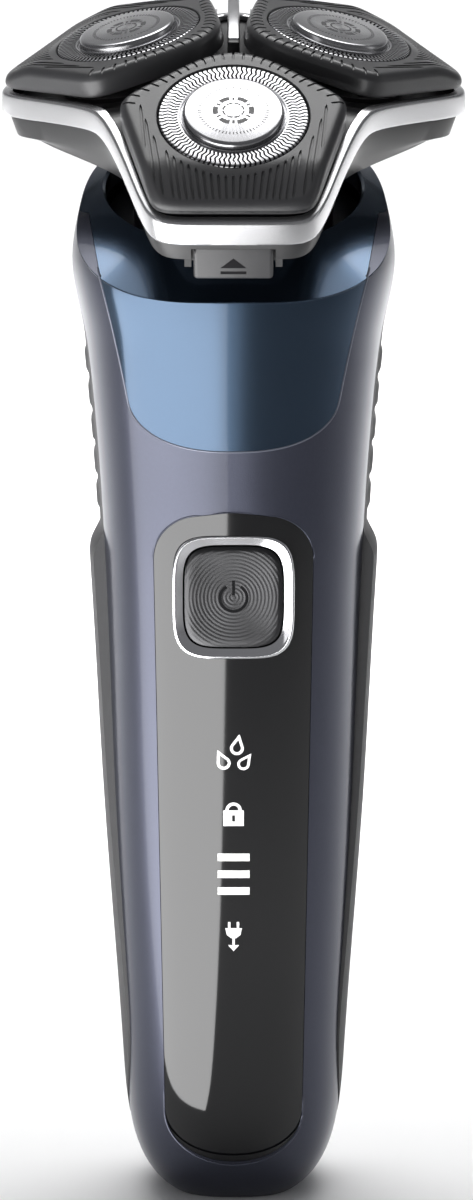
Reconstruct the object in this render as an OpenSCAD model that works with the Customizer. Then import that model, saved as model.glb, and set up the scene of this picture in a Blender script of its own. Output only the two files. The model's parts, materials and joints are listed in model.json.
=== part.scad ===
// Rotary electric shaver: a cordless handle with a pull-off, flip-open three-unit head.
// Millimetres. +Z runs up the handle, the front faces -Y, and the origin is the middle
// of the flat base. "Head" sizes are in the head's own frame, whose origin is the middle
// of the three guards and whose +Z is the drive axis. "Unit" sizes are in a unit's frame,
// with +Z out of its guard and +X away from the middle of the head.

/* [Handle] */
// Height of the handle's rim on the drive axis
rim_h = 143; // [134:1:178]
// How far behind the origin the drive axis crosses the rim
rim_y = 1.5; // [0:0.5:3]
// Width across the shoulders
shoulder_w = 44.2; // [36:0.2:54]
// Width at the waist, above the thumb step
waist_w = 37; // [34:0.2:44]
// Width across the toe
toe_w = 30.8; // [28:0.2:38]
// Width across the rim
rim_w = 40; // [38:0.2:46]
// Depth in front of the origin at the power button
front_depth = 21; // [18:0.2:26]
// Depth behind the origin at the power button
back_depth = 17.6; // [16:0.2:22]
// Wall of the shells
shell_wall = 1.8; // [1.4:0.1:2.2]
// How far the lower grip stands proud of the shell at the thumb step
grip_step = 1.7; // [0.6:0.1:2.4]
// Place of the seam between front shell and rear grip
seam_y = -8.5; // [-10:0.5:-6]
// How many raised ribs the grip has on each side
grip_ribs = 5; // [3:1:7]

/* [Front panel] */
// Half width of the display panel at its top
panel_top_w = 10.8; // [9.4:0.1:12]
// Half width of the display panel at its bottom
panel_bottom_w = 9.6; // [8:0.1:11]
// Height of the panel's lower end
panel_low_z = 7.2; // [6.4:0.1:11]
// Thickness of the display panel
panel_t = 1.1; // [0.8:0.1:1.4]
// Width of the power button
button_w = 13.3; // [12:0.1:14.5]
// Height of the power button
button_h = 13.9; // [12:0.1:15]
// Width of the metal ring round the button
ring_band = 1.6; // [1:0.1:1.8]
// Travel of the power button
button_travel = 0.6; // [0.3:0.1:0.7]

/* [Head] */
// Forward tilt of the head
head_tilt = 20; // [16:1:24]
// Distance from the rim up to the plane of the guards
head_rise = 19; // [18:0.5:24]
// Diameter of each round guard
guard_d = 20; // [18:0.5:24]
// Outward tilt of each shaving unit
unit_tilt = 15; // [12:0.5:17]
// Gap between the rims of neighbouring units
unit_gap = 3.64; // [3:0.1:5]
// Width of a cap's rim at its inner edges
cap_rim = 2.6; // [2.2:0.1:3.4]
// Height of a cap
cap_h = 3.4; // [3:0.1:4]
// Gap between a cap and the frame below it
cap_gap = 0.55; // [0.5:0.05:1.2]
// Height of the silver frame
frame_h = 3.25; // [2.8:0.05:4]
// How far the head pulls off
pull_travel = 18; // [12:1:24]
// Travel of the release button
release_travel = 0.9; // [0.5:0.1:1]

/* [Drive] */
// Teeth on the central gear, a multiple of three
central_teeth = 18; // [15:3:21]
// Teeth on each driven gear, an odd number
driven_teeth = 15; // [13:2:17]
// Radius of the motor's can
motor_r = 9.6; // [8:0.1:10]
// Length of the motor's can
motor_len = 14; // [12:0.5:15]
// Radius of the motor shaft
shaft_r = 1.15; // [0.9:0.05:1.4]
// Radial clearance of a running fit
running_fit = 0.06; // [0.03:0.01:0.09]
// Blades on each cutter
cutter_blades = 15; // [9:3:18]

/* [Battery] */
// Radius of the battery cell
battery_r = 7; // [6:0.1:7.4]
// Length of the battery cell
battery_len = 50; // [40:0.5:54]

/* [Hidden] */

FRONT = 0;
LEFT = 1;
RIGHT = 2;
azimuths = [-90, 150, 30];
touch = 0.05;
big = 120;

// Colours
shell_colour = [0.33, 0.33, 0.42];
collar_colour = [0.16, 0.25, 0.38];
grip_colour = [0.20, 0.20, 0.20];
dark_colour = [0.24, 0.24, 0.25];
black_colour = [0.06, 0.06, 0.07];
silver_colour = [0.78, 0.78, 0.80];
steel_colour = [0.62, 0.63, 0.66];
brass_colour = [0.80, 0.64, 0.30];
white_colour = [0.92, 0.92, 0.90];

// Heights that follow the rim
head_y = rim_y - head_rise * sin(head_tilt);
head_z = rim_h + head_rise * cos(head_tilt);
handle_top = rim_h + 10;
collar_low_z = rim_h - 32.7;
button_z = rim_h - 52.8;
panel_top_z = button_z + 11.7;
step_z = rim_h - 50;
ribs_low_z = step_z + 6.2;
rib_pitch = 4.7;
drops_z = button_z - 22.6;
lock_z = button_z - 30.6;
bars_z = button_z - 39.5;
plug_z = button_z - 48.5;

// Toe
toe_h = 20;
toe_flat = 2;
toe_power = 2.7;
front_power = 2.6;
back_power = 2.3;

// Head stack, down the unit's axis
guard_r = guard_d / 2;
guard_wall = 0.35;
band_wall = 1.5;
frame_top = -(cap_h + cap_gap);
frame_low = frame_top - frame_h;
plate_top = frame_top - 1.95;
unit_reach = (guard_r + cap_rim + unit_gap / 2) / sin(60);
chamber_gap = 0.3;
chamber_top = frame_low - chamber_gap;
retainer_r = guard_r + 0.5;

// Outline of the head
corner_power = 16;
valley_power = 11;
crown_power = 8;
side_angle = 74.3;
frame_outer = unit_reach + (guard_r + 5.6) * cos(unit_tilt);
frame_side = unit_reach * cos(side_angle) + guard_r + 4.7;
angle_step = 5;
waist_r = frame_radius(60);

// Head stack, down the drive axis
floor_top = -13.1;
floor_low = -14.3;
base_low = -15.6;
neck_r = 12;
neck_low = -23.4;
socket_gap = 0.25;
plate_z = -24;
plate_h = 1.6;
recess_r = 17.6;
bevel_slope = 0.36;
motor_top = plate_z - plate_h - 0.6;
motor_low = motor_top - motor_len;

// Gears
gear_h = 2;
gear_mid = -9.8;
apex_depth = unit_reach / tan(unit_tilt);
central_cone = atan(sin(unit_tilt) / (driven_teeth / central_teeth + cos(unit_tilt)));
driven_cone = unit_tilt - central_cone;
central_r = (apex_depth + gear_mid) * tan(central_cone);
driven_r = central_r * driven_teeth / central_teeth;
gear_module = 2 * central_r / central_teeth;
driven_mid = (central_r - unit_reach) * sin(unit_tilt) + gear_mid * cos(unit_tilt);
gear_room = 0.4;
cover_wall = 1;
spindle_top = -3;
spindle_neck = -5.2;
post_r = 0.8;

// Hinge of the flip-open frame
hinge_y = 25.6;
hinge_z = -8.5;
pin_r = 0.8;

// Battery
battery_z = 37;

// ---------------------------------------------------------------- helpers

function lerp(a, b, t) = a + (b - a) * t;
function clamp01(t) = max(0, min(1, t));
function smooth(t) = let (u = clamp01(t)) u * u * (3 - 2 * u);
function signed_pow(v, p) = sign(v) * pow(abs(v), p);

// Smooth curve through [height, value] pairs
function tangent(p, k) =
    let (a = max(0, k - 1), b = min(len(p) - 1, k + 1))
    (p[b][1] - p[a][1]) / (p[b][0] - p[a][0]);
function span_of(p, z, k = 0) = (k >= len(p) - 2 || z < p[k + 1][0]) ? k : span_of(p, z, k + 1);
function curve_at(p, z) =
    let (k = span_of(p, z), h = p[k + 1][0] - p[k][0], t = clamp01((z - p[k][0]) / h))
    (2 * t * t * t - 3 * t * t + 1) * p[k][1]
    + (t * t * t - 2 * t * t + t) * h * tangent(p, k)
    + (3 * t * t - 2 * t * t * t) * p[k + 1][1]
    + (t * t * t - t * t) * h * tangent(p, k + 1);

module at_head() {
    translate([0, head_y, head_z]) rotate([head_tilt, 0, 0]) children();
}

module at_unit(i) {
    at_head() rotate([0, 0, azimuths[i]]) translate([unit_reach, 0, 0])
        rotate([0, unit_tilt, 0]) children();
}

module disc(r, low, high, sides = 48) {
    translate([0, 0, low]) cylinder(r = r, h = high - low, $fn = sides);
}

module tube(outer, inner, low, high) {
    difference() {
        disc(outer, low, high);
        disc(inner, low - 1, high + 1);
    }
}

// A box from its two corners
module block(a, b) {
    translate(a) cube(b - a);
}

// The children as one closed mesh
module as_one_mesh() {
    resize([0, 0, 0]) children();
}

// A solid through rings of points that all turn the same way, lowest ring first
module ring_loft(rings) {
    n = len(rings[0]);
    last = len(rings) - 1;
    points = [for (ring = rings) each ring];
    low_mid = [for (c = [0:2]) [for (p = rings[0]) p[c]] * [for (p = rings[0]) 1] / n];
    top_mid = [for (c = [0:2]) [for (p = rings[last]) p[c]] * [for (p = rings[last]) 1] / n];
    sides = [
        for (k = [0:last - 1], i = [0:n - 1]) let (j = (i + 1) % n)
            each [[k * n + i, (k + 1) * n + i, (k + 1) * n + j], [k * n + i, (k + 1) * n + j, k * n + j]]
    ];
    low_fan = [for (i = [0:n - 1]) [i, (i + 1) % n, len(points)]];
    top_fan = [for (i = [0:n - 1]) [last * n + (i + 1) % n, last * n + i, len(points) + 1]];
    polyhedron(concat(points, [low_mid, top_mid]), concat(sides, low_fan, top_fan));
}

// A closed loop of closed sections, one for each step round the loop
module loop_loft(sections) {
    n = len(sections);
    m = len(sections[0]);
    points = [for (s = sections) each s];
    faces = [
        for (k = [0:n - 1], i = [0:m - 1]) let (l = (k + 1) % n, j = (i + 1) % m)
            each [[k * m + i, k * m + j, l * m + j], [k * m + i, l * m + j, l * m + i]]
    ];
    polyhedron(points, faces);
}

// ---------------------------------------------------------------- handle form

half_widths = [
    [0, toe_w / 2], [0.12 * rim_h, toe_w / 2], [0.40 * rim_h, lerp(toe_w, waist_w, 0.58) / 2],
    [0.68 * rim_h, waist_w / 2], [0.86 * rim_h, lerp(waist_w, shoulder_w, 0.53) / 2],
    [0.937 * rim_h, shoulder_w / 2], [1.014 * rim_h, rim_w / 2], [1.07 * rim_h, rim_w / 2 - 1.4]
];
front_depths = [
    [0, front_depth - 7], [0.07 * rim_h, front_depth - 6.3], [0.31 * rim_h, front_depth - 3],
    [0.64 * rim_h, front_depth], [0.78 * rim_h, front_depth + 0.7],
    [0.92 * rim_h, front_depth + 1.9], [1.07 * rim_h, front_depth + 2.4]
];
back_depths = [
    [0, back_depth - 4.6], [0.07 * rim_h, back_depth - 4], [0.31 * rim_h, back_depth - 1],
    [0.64 * rim_h, back_depth], [0.80 * rim_h, back_depth + 1.8],
    [0.88 * rim_h, back_depth + 3.5], [1.0 * rim_h, back_depth + 4.6], [1.07 * rim_h, back_depth + 4.6]
];

function toe_factor(z) =
    z >= toe_h ? 1
    : pow(1 - pow(1 - (z + toe_flat) / (toe_h + toe_flat), toe_power), 1 / toe_power);

// How far the rubber stands proud of the shell at a height
function grip_at(z) = grip_step * clamp01((z - 9) / (step_z - 11)) * (1 - smooth((z - step_z) / 4.4));

// Where the front of the handle is at a width and a height
function front_surface(x, z) =
    -curve_at(front_depths, z)
    * pow(1 - pow(abs(x) / curve_at(half_widths, z), front_power), 1 / front_power);

// One level section of the handle, grown outwards by grow
section_step = 6;
toe_rings = 6;
body_rings = 21;
function handle_section(z, grow, proud) =
    let (
        t = toe_factor(z), p = proud ? grip_at(z) : 0,
        hw = curve_at(half_widths, z) * t + grow + p,
        fd = curve_at(front_depths, z) * t + grow,
        bd = curve_at(back_depths, z) * t + grow + p
    )
    [
        for (a = [0:section_step:359.9])
            let (front = sin(a) < 0, e = front ? front_power : back_power)
            [hw * signed_pow(cos(a), 2 / e), (front ? fd : bd) * signed_pow(sin(a), 2 / e), z]
    ];

module handle_form(grow = 0, low = 0, proud = false) {
    levels = concat(
        [for (i = [0:toe_rings - 1]) low + (toe_h - low) * pow(i / toe_rings, 1.5)],
        [for (i = [0:body_rings]) lerp(toe_h, handle_top, i / body_rings)]
    );
    ring_loft([for (z = levels) handle_section(z, grow, proud)]);
}

// Everything above the collar's bevel, and the round recess below its inner edge
module above_bevel() {
    top = -head_rise + 0.1;
    at_head() rotate_extrude($fn = 72) polygon([
        [0, plate_z - plate_h], [recess_r, plate_z - plate_h], [recess_r, top],
        [recess_r + 40, top - 40 * bevel_slope], [recess_r + 40, 60], [0, 60]
    ]);
}

// Where the collar is solid: everything above a level just over the recess floor
module collar_wall() {
    at_head() block([-60, -60, plate_z - plate_h + 0.4], [60, 60, 60]);
}

// The front seam of the collar: half width at a height
function collar_half(z) =
    let (u = z - collar_low_z)
    (13.0 + 0.16 * u + 0.0022 * u * u) * pow(1 - pow(1 - clamp01(u / 6.5), 2.4), 1 / 2.4);

// Where the collar is, and the shells aren't
module collar_zone() {
    heights = concat([0, 0.15, 0.5, 1.1, 2.2, 3.8, 6.5], [for (u = [10:4:46]) u]);
    right = [for (u = heights) [collar_half(collar_low_z + u), collar_low_z + u]];
    left = [for (k = [len(heights) - 1:-1:1]) [-right[k][0], right[k][1]]];
    translate([0, 0.7, 0]) rotate([90, 0, 0]) linear_extrude(60) polygon(concat(right, left));
    back_z = rim_h - 2.5;
    rotate([90, 0, 90]) translate([0, 0, -60]) linear_extrude(120)
        polygon([[-8, back_z - 1], [0, back_z], [40, back_z + 8], [40, back_z + 60], [-8, back_z + 60]]);
}

// Where the rear grip is, as a side profile swept across the handle
module rear_zone() {
    low_z = 8;
    top_z = rim_h - 9;
    bend = 16;
    low_corner = [
        for (a = [0:10:90])
            [seam_y + bend * (1 - signed_pow(cos(a), 0.8)), low_z + 24 * (1 - signed_pow(sin(a), 0.8))]
    ];
    top_corner = [
        for (a = [90:-10:0])
            [seam_y + bend * (1 - signed_pow(cos(a), 0.8)), top_z - 20 * (1 - signed_pow(sin(a), 0.8))]
    ];
    rotate([90, 0, 90]) translate([0, 0, -60]) linear_extrude(120)
        polygon(concat(low_corner, [[60, low_z - 4], [60, top_z + 6]], top_corner));
}

// The display panel's outline, seen from the front and grown by grow
module panel_outline(grow = 0) {
    offset(delta = grow) hull() {
        translate([0, panel_low_z + 7.4]) scale([panel_bottom_w / 7.4, 1]) circle(r = 7.4, $fn = 32);
        for (s = [-1, 1]) {
            translate([s * (panel_bottom_w - 4.6), panel_low_z + 9.4]) circle(r = 4.6, $fn = 24);
            translate([s * (panel_top_w - 6.4), panel_top_z - 6.9]) circle(r = 6.4, $fn = 32);
        }
        translate([0, panel_top_z - 6.4]) scale([panel_top_w / 7.2, 1]) circle(r = 6.4, $fn = 32);
    }
}

// A rounded square, seen from the front and centred on the power button
function squircle(w, h, e = 4.2, n = 48) = [
    for (i = [0:n - 1]) let (a = i * 360 / n)
        [w / 2 * signed_pow(cos(a), 2 / e), button_z + h / 2 * signed_pow(sin(a), 2 / e)]
];

// Extrudes a front-view outline from y_low back to y_high
module from_front(y_low, y_high) {
    translate([0, y_high, 0]) rotate([90, 0, 0]) linear_extrude(y_high - y_low) children();
}

// ---------------------------------------------------------------- handle shells

boss_x = 11;
boss_low_z = 37;
boss_top_z = panel_top_z + 3.4;
boss_r = 2.2;
screw_r = 0.9;
switch_top = -front_depth + 4;
stem_end = switch_top - button_travel - 0.2;
board_front = switch_top + 3.8;
board_back = board_front + 1.6;
board_half = 8.3;
board_low_z = 33;
board_top_z = button_z + 8;
guide_front = -front_depth + 5.4;
chassis_y = board_back + 2.2;
chassis_t = 1.6;
chassis_half = 12.6;
chassis_low_z = 31;
battery_y = chassis_y + chassis_t + 2.3 + battery_r;
socket_half = 5.6;
socket_wall = 0.6;
socket_front = 0.4;
socket_back = 5.9;
pocket_half = 4.6;
pocket_depth = 10;
stem_r = 3;

module boss_places() {
    for (s = [-1, 1], z = [boss_low_z, boss_top_z])
        translate([s * boss_x, chassis_y, z]) rotate([90, 0, 0]) children();
}

module socket_hole() {
    block([-socket_half, socket_front, -1], [socket_half, socket_back, 14]);
}

module front_shell() {
    color(shell_colour) difference() {
        as_one_mesh() {
            difference() {
                handle_form();
                handle_form(grow = -shell_wall, low = shell_wall);
                rear_zone();
                collar_zone();
                above_bevel();
                difference() {
                    from_front(-60, seam_y) panel_outline();
                    handle_form(grow = -panel_t);
                }
                from_front(-60, seam_y) offset(delta = -1.6) panel_outline();
            }
            intersection() {
                boss_places() cylinder(r = boss_r, h = front_depth, $fn = 24);
                handle_form(grow = -shell_wall / 2);
            }
        }
        boss_places() translate([0, 0, -1]) cylinder(r = screw_r, h = 5, $fn = 24);
        socket_hole();
    }
}

module rear_grip() {
    color(grip_colour) as_one_mesh() {
        difference() {
            intersection() {
                handle_form(proud = true);
                rear_zone();
            }
            handle_form(grow = -shell_wall, low = shell_wall);
            collar_zone();
        }
        for (k = [0:grip_ribs - 1]) grip_rib(ribs_low_z + k * rib_pitch);
    }
}

// One raised rib on both sides of the grip
module grip_rib(z) {
    intersection() {
        difference() {
            handle_form(grow = 0.3);
            handle_form(grow = -0.4);
        }
        block([-60, -5.5, z], [60, 6, z + rib_pitch - 1.2]);
    }
}

module collar() {
    color(collar_colour) as_one_mesh() difference() {
        intersection() {
            handle_form();
            collar_zone();
        }
        above_bevel();
        difference() {
            handle_form(grow = -shell_wall, low = shell_wall);
            collar_wall();
        }
    }
}

module display_panel() {
    color(black_colour) difference() {
        as_one_mesh() difference() {
            intersection() {
                handle_form();
                from_front(-60, seam_y) panel_outline(-touch);
            }
            handle_form(grow = -panel_t);
            from_front(-60, seam_y) polygon(squircle(ring_w + 2 * touch, ring_h + 2 * touch));
            difference() {
                from_front(-60, seam_y) icons_outline();
                handle_form(grow = -icon_depth);
            }
        }
    }
}

// ---------------------------------------------------------------- icons

icon_depth = 0.4;
bar_w = 4.4;
bar_h = 1.25;
bar_pitch = 2.45;

// A water drop with its tip up
module drop_outline(r) {
    hull() {
        circle(r = r, $fn = 16);
        translate([0, 1.9 * r]) circle(r = 0.12 * r, $fn = 8);
    }
}

module icons_outline() {
    for (p = [[0.5, 1.3, -12], [-1.3, -0.7, 30], [1.5, -0.9, -35]])
        translate([p[0], drops_z + p[1]]) rotate(p[2]) drop_outline(0.8);
    translate([-1.35, lock_z - 1.9]) square([2.7, 2.3]);
    translate([0, lock_z + 0.4]) difference() {
        circle(r = 1.15, $fn = 24);
        circle(r = 0.65, $fn = 24);
    }
    for (k = [-1:1]) translate([-bar_w / 2, bars_z + k * bar_pitch - bar_h / 2]) square([bar_w, bar_h]);
    translate([-1.1, plug_z - 0.2]) square([2.2, 1.3]);
    for (s = [-1, 1]) translate([s * 0.6 - 0.2, plug_z + 1]) square([0.4, 1]);
    translate([0, plug_z - 1.9]) circle(r = 0.8, $fn = 3);
}

module status_icons() {
    color(white_colour) as_one_mesh() intersection() {
        difference() {
            handle_form();
            handle_form(grow = -icon_depth);
        }
        from_front(-60, seam_y) icons_outline();
    }
}

// ---------------------------------------------------------------- power button

ring_face = -front_depth - 0.15;
ring_w = button_w + 2 * ring_band;
ring_h = button_h + 2 * ring_band;
button_low = -front_depth + 2.4;

module button_ring() {
    color(silver_colour) difference() {
        from_front(ring_face, button_low) polygon(squircle(ring_w, ring_h));
        from_front(-60, 0) polygon(squircle(button_w + 0.3, button_h + 0.3));
    }
}

module power_button() {
    color(dark_colour) union() {
        from_front(-front_depth - 0.1, button_low) polygon(squircle(button_w, button_h));
        translate([0, button_low - 0.1, button_z]) rotate([-90, 0, 0])
            cylinder(r = stem_r, h = stem_end - button_low + 0.1, $fn = 32);
    }
}

// ---------------------------------------------------------------- electronics

module chassis() {
    color(dark_colour) difference() {
        union() {
            block([-chassis_half, chassis_y, chassis_low_z], [chassis_half, chassis_y + chassis_t, panel_top_z + 7]);
            for (z = [battery_z + 5, battery_z + battery_len - 10]) {
                translate([0, battery_y, z]) cylinder(r = battery_r + 1.4, h = 5, $fn = 64);
                block([-3.5, chassis_y + 0.5, z], [3.5, battery_y - battery_r + 0.5, z + 5]);
            }
            for (s = [-1, 1], z = [board_low_z + 4, board_top_z - 4])
                translate([s * 6.5, chassis_y + 0.5, z]) rotate([90, 0, 0])
                    cylinder(r = 1.6, h = 0.5 + chassis_y - board_back, $fn = 24);
        }
        translate([0, battery_y, 0]) cylinder(r = battery_r + touch, h = rim_h, $fn = 64);
        boss_places() translate([0, 0, -5]) cylinder(r = screw_r, h = 10, $fn = 24);
    }
}

module chassis_screws() {
    color(steel_colour) boss_places() {
        translate([0, 0, -chassis_t - 1]) cylinder(r = 1.7, h = 1, $fn = 24);
        translate([0, 0, -chassis_t - 0.5]) cylinder(r = screw_r, h = chassis_t + 4, $fn = 24);
    }
}

module battery() {
    color([0.25, 0.45, 0.30]) translate([0, battery_y, battery_z]) union() {
        cylinder(r = battery_r, h = battery_len, $fn = 64);
        cylinder(r = 2.6, h = battery_len + 1, $fn = 32);
    }
}

module battery_contacts() {
    color(steel_colour) for (z = [battery_z - 0.4, battery_z + battery_len + 1])
        block([-3, battery_y - 9.2, z], [3, battery_y + 3, z + 0.4]);
}

module circuit_board() {
    color([0.10, 0.30, 0.18])
        block([-board_half, board_front, board_low_z], [board_half, board_back, board_top_z]);
}

module board_parts() {
    color([0.12, 0.12, 0.13]) {
        block([-5, board_back, button_z - 20], [5, board_back + 1.2, button_z - 12]);
        block([-8, board_front - 1.4, button_z - 8], [-5, board_front, button_z - 2]);
        block([5, board_front - 1.4, button_z - 8], [8, board_front, button_z - 2]);
    }
}

module tact_switch() {
    color([0.15, 0.15, 0.16]) union() {
        block([-3, board_front - 2.6, button_z - 3], [3, board_front, button_z + 3]);
        translate([0, board_front - 2, button_z]) rotate([90, 0, 0])
            cylinder(r = 1.6, h = board_front - 2 - switch_top, $fn = 32);
    }
}

module status_leds() {
    color(white_colour)
        for (z = [drops_z, lock_z, bars_z - bar_pitch, bars_z, bars_z + bar_pitch, plug_z])
            block([-1, board_front - 0.8, z - 0.5], [1, board_front, z + 0.5]);
}

module light_guide() {
    color([0.85, 0.87, 0.88])
        block([-3.4, guide_front, plug_z - 3.4], [3.4, board_front - 1, drops_z + 3.6]);
}

module charging_socket() {
    color(black_colour) difference() {
        block([-socket_half, socket_front, 0], [socket_half, socket_back, 13.5]);
        block([-pocket_half, socket_front + socket_wall, -1], [pocket_half, socket_back - socket_wall, pocket_depth]);
        charging_pin_places() cylinder(r = pin_r, h = 30, $fn = 24);
    }
}

module charging_pin_places() {
    for (s = [-1, 1]) translate([s * 2.2, (socket_front + socket_back) / 2, 4.9]) children();
}

module charging_pins() {
    color(brass_colour) charging_pin_places() cylinder(r = pin_r, h = 11, $fn = 24);
}

// ---------------------------------------------------------------- drive in the handle

seal_r = 3.4;
motor_screw_r = 6;

module motor_screw_places() {
    at_head() for (s = [-1, 1]) translate([s * motor_screw_r, 0, 0]) children();
}

module top_plate() {
    color(dark_colour) difference() {
        at_head() difference() {
            union() {
                disc(recess_r - touch, plate_z - plate_h, plate_z, 72);
                disc(neck_r + 1.7, plate_z - plate_h, -19.6, 72);
            }
            disc(neck_r + socket_gap, plate_z, 0, 72);
            disc(seal_r, -60, 0, 32);
        }
        motor_screw_places() disc(screw_r, -40, 0, 24);
    }
}

module shaft_seal() {
    color(grip_colour) at_head() tube(seal_r, shaft_r + running_fit, plate_z - 0.9, plate_z);
}

module motor_screws() {
    color(steel_colour) motor_screw_places() union() {
        disc(1.6, plate_z, plate_z + 0.5, 24);
        disc(screw_r, motor_top - 1.2, plate_z + 0.2, 24);
    }
}

module motor_can() {
    color(steel_colour) difference() {
        at_head() difference() {
            disc(motor_r, motor_low, motor_top, 64);
            disc(motor_r - 0.7, motor_low - 1, motor_top - 1.2, 64);
            disc(2.2, -60, 0, 32);
        }
        motor_screw_places() disc(screw_r, -40, 0, 24);
    }
}

module motor_end_cap() {
    color(black_colour) at_head() tube(motor_r, 2.2, motor_low - 1.4, motor_low);
}

module motor_bearings() {
    color(brass_colour) at_head() {
        tube(2.2, shaft_r + running_fit, motor_top - 1.2, motor_top);
        tube(2.2, shaft_r + running_fit, motor_low - 1.4, motor_low);
    }
}

module motor_magnets() {
    outer = motor_r - 0.7;
    color([0.30, 0.30, 0.32]) at_head() for (turn = [25, 205])
        translate([0, 0, motor_low + 2]) rotate([0, 0, turn])
            rotate_extrude(angle = 130, $fn = 64)
                translate([outer - 1.5, 0]) square([1.5, motor_len - 4.4]);
}

module armature() {
    core_r = motor_r - 2.8;
    color([0.55, 0.36, 0.20]) at_head() difference() {
        union() {
            disc(core_r, motor_low + 3.2, motor_top - 2.4, 64);
            disc(2.4, motor_low + 0.6, motor_low + 3.4, 32);
        }
        disc(shaft_r, -60, 0, 32);
        for (turn = [0, 120, 240]) rotate([0, 0, turn])
            block([2.6, -0.6, motor_low + 3.1], [core_r + 1, 0.6, motor_top]);
    }
}

coupling_r = 2.5;
coupling_top = -13.3;
hub_r = 4;

module motor_shaft() {
    color(steel_colour) at_head() disc(shaft_r, motor_low - 1.2, coupling_top - 1.5, 32);
}

module drive_coupling() {
    color(white_colour) at_head() difference() {
        disc(coupling_r, plate_z + 0.7, coupling_top, 6);
        disc(shaft_r, plate_z, coupling_top - 1.5, 32);
    }
}

// ---------------------------------------------------------------- head outlines

// Radius of the head's three-lobed outline at an angle from a lobe's axis
function folded(a) = abs(((a % 120) + 180) % 120 - 60);
function frame_radius(a) =
    let (
        t = folded(a),
        outer = frame_outer / cos(t),
        side = frame_side / cos(t - side_angle),
        mirror = frame_side / cos(120 - t - side_angle),
        valley = t < 25 ? side : pow(pow(side, valley_power) + pow(mirror, valley_power), 1 / valley_power)
    )
    pow(pow(outer, -corner_power) + pow(valley, -corner_power), -1 / corner_power);

// Share of the radius that counts along a lobe's axis, rounded where two lobes meet
function lobe_share(a) =
    let (t = folded(a))
    pow(pow(cos(t), crown_power) + pow(max(0, cos(120 - t)), crown_power), 1 / crown_power);

// Height in the head's frame of a point that is at height h in its unit's frame
function crowned(r, a, h) = (h - (r * lobe_share(a) - unit_reach) * sin(unit_tilt)) / cos(unit_tilt);

// Angles are from the front lobe's axis; a point of the head's frame
function at_angle(r, a, z) = [r * cos(a - 90), r * sin(a - 90), z];
function lobe_point(inset, a, h) =
    let (r = frame_radius(a) - inset) at_angle(r, a, crowned(r, a, h));
function flat_point(inset, a, z, pull = 1) =
    at_angle(lerp(waist_r, frame_radius(a), pull) - inset, a, z);

head_angles = [0:angle_step:359.9];
// Half a step round, so the edges of the chamber's inside and outside never meet
inner_angles = [angle_step / 2:angle_step:360];

// ---------------------------------------------------------------- head base

button_half = 5.25;
button_face = -28.9;
button_back = -27.3;
button_top = -12.9;
button_low_z = -17.9;

module release_pocket(grow = 0) {
    at_head() block(
        [-button_half - 0.3 - grow, -40, button_low_z - 0.3 - grow],
        [button_half + 0.3 + grow, button_back + release_travel + 0.5 + grow, button_top + 0.3 + grow]
    );
}

module gear_rooms(grow, low = -30) {
    at_head() disc(central_r + gear_module + gear_room + grow, low, gear_mid + 1.4 + grow);
    for (i = [FRONT, LEFT, RIGHT])
        at_unit(i) disc(driven_r + gear_module + gear_room + grow, low, driven_mid + 1.4 + grow);
}

module hair_chamber() {
    color(black_colour) difference() {
        as_one_mesh() {
            difference() {
                union() {
                    at_head() difference() {
                        ring_loft([
                            [for (a = head_angles) flat_point(5, a, floor_low)],
                            [for (a = head_angles) flat_point(4, a, floor_low + 0.6)],
                            [for (a = head_angles) lobe_point(2, a, chamber_top - 3)],
                            [for (a = head_angles) lobe_point(1, a, chamber_top)]
                        ]);
                        ring_loft([
                            [for (a = inner_angles) flat_point(6, a, floor_top)],
                            [for (a = inner_angles) lobe_point(3.6, a, chamber_top - 3)],
                            [for (a = inner_angles) lobe_point(2.8, a, chamber_top - 1)],
                            [for (a = inner_angles) lobe_point(2.8, a, chamber_top + 8)]
                        ]);
                    }
                    intersection() {
                        release_pocket(grow = 1);
                        at_head() block([-20, -28.2, button_low_z - 1], [20, 0, 0]);
                    }
                }
                release_pocket();
                gear_rooms(0);
            }
            at_head() for (s = [-1, 1]) hinge_arm(s, 4.5, 6.5, -11.5);
        }
        hinge_bore();
    }
}

// An arm from the waist at the back of the head to the hinge pin
module hinge_arm(side, inner, outer, low) {
    translate([side > 0 ? inner : -outer, 0, 0]) union() {
        block([0, waist_r - 1.8, low], [outer - inner, hinge_y, hinge_z + 0.6]);
        translate([0, hinge_y, hinge_z]) rotate([0, 90, 0]) cylinder(r = 1.8, h = outer - inner, $fn = 32);
    }
}

module hinge_bore(clearance = 0) {
    at_head() translate([-20, hinge_y, hinge_z]) rotate([0, 90, 0])
        cylinder(r = pin_r + clearance, h = 40, $fn = 32);
}

module hinge_pin() {
    color(steel_colour) at_head() translate([-6.6, hinge_y, hinge_z]) rotate([0, 90, 0])
        cylinder(r = pin_r, h = 13.2, $fn = 32);
}

module gear_cover() {
    color(dark_colour) difference() {
        gear_rooms(cover_wall);
        gear_rooms(0);
        at_head() disc(60, -60, floor_top);
        for (i = [FRONT, LEFT, RIGHT]) at_unit(i) disc(2.2, -30, 0, 32);
    }
}

module gear_base() {
    color(dark_colour) union() {
        difference() {
            as_one_mesh() at_head() ring_loft([
                [for (a = head_angles) flat_point(6, a, base_low, 0.3)],
                [for (a = head_angles) flat_point(5, a, floor_low, 0.5)]
            ]);
            at_head_centre_bore();
        }
        at_head() tube(neck_r, neck_r - 2.6, neck_low, base_low + 0.2);
        for (i = [FRONT, LEFT, RIGHT]) at_unit(i) disc(post_r, driven_mid - 3.8, driven_mid + 0.8, 24);
    }
}

module at_head_centre_bore() {
    at_head() disc(hub_r + running_fit, -60, 0);
}

module neck_seal() {
    color(grip_colour) at_head() tube(neck_r + 0.18, neck_r, -21.2, -20.2);
}

// ---------------------------------------------------------------- gears and spindles

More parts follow.
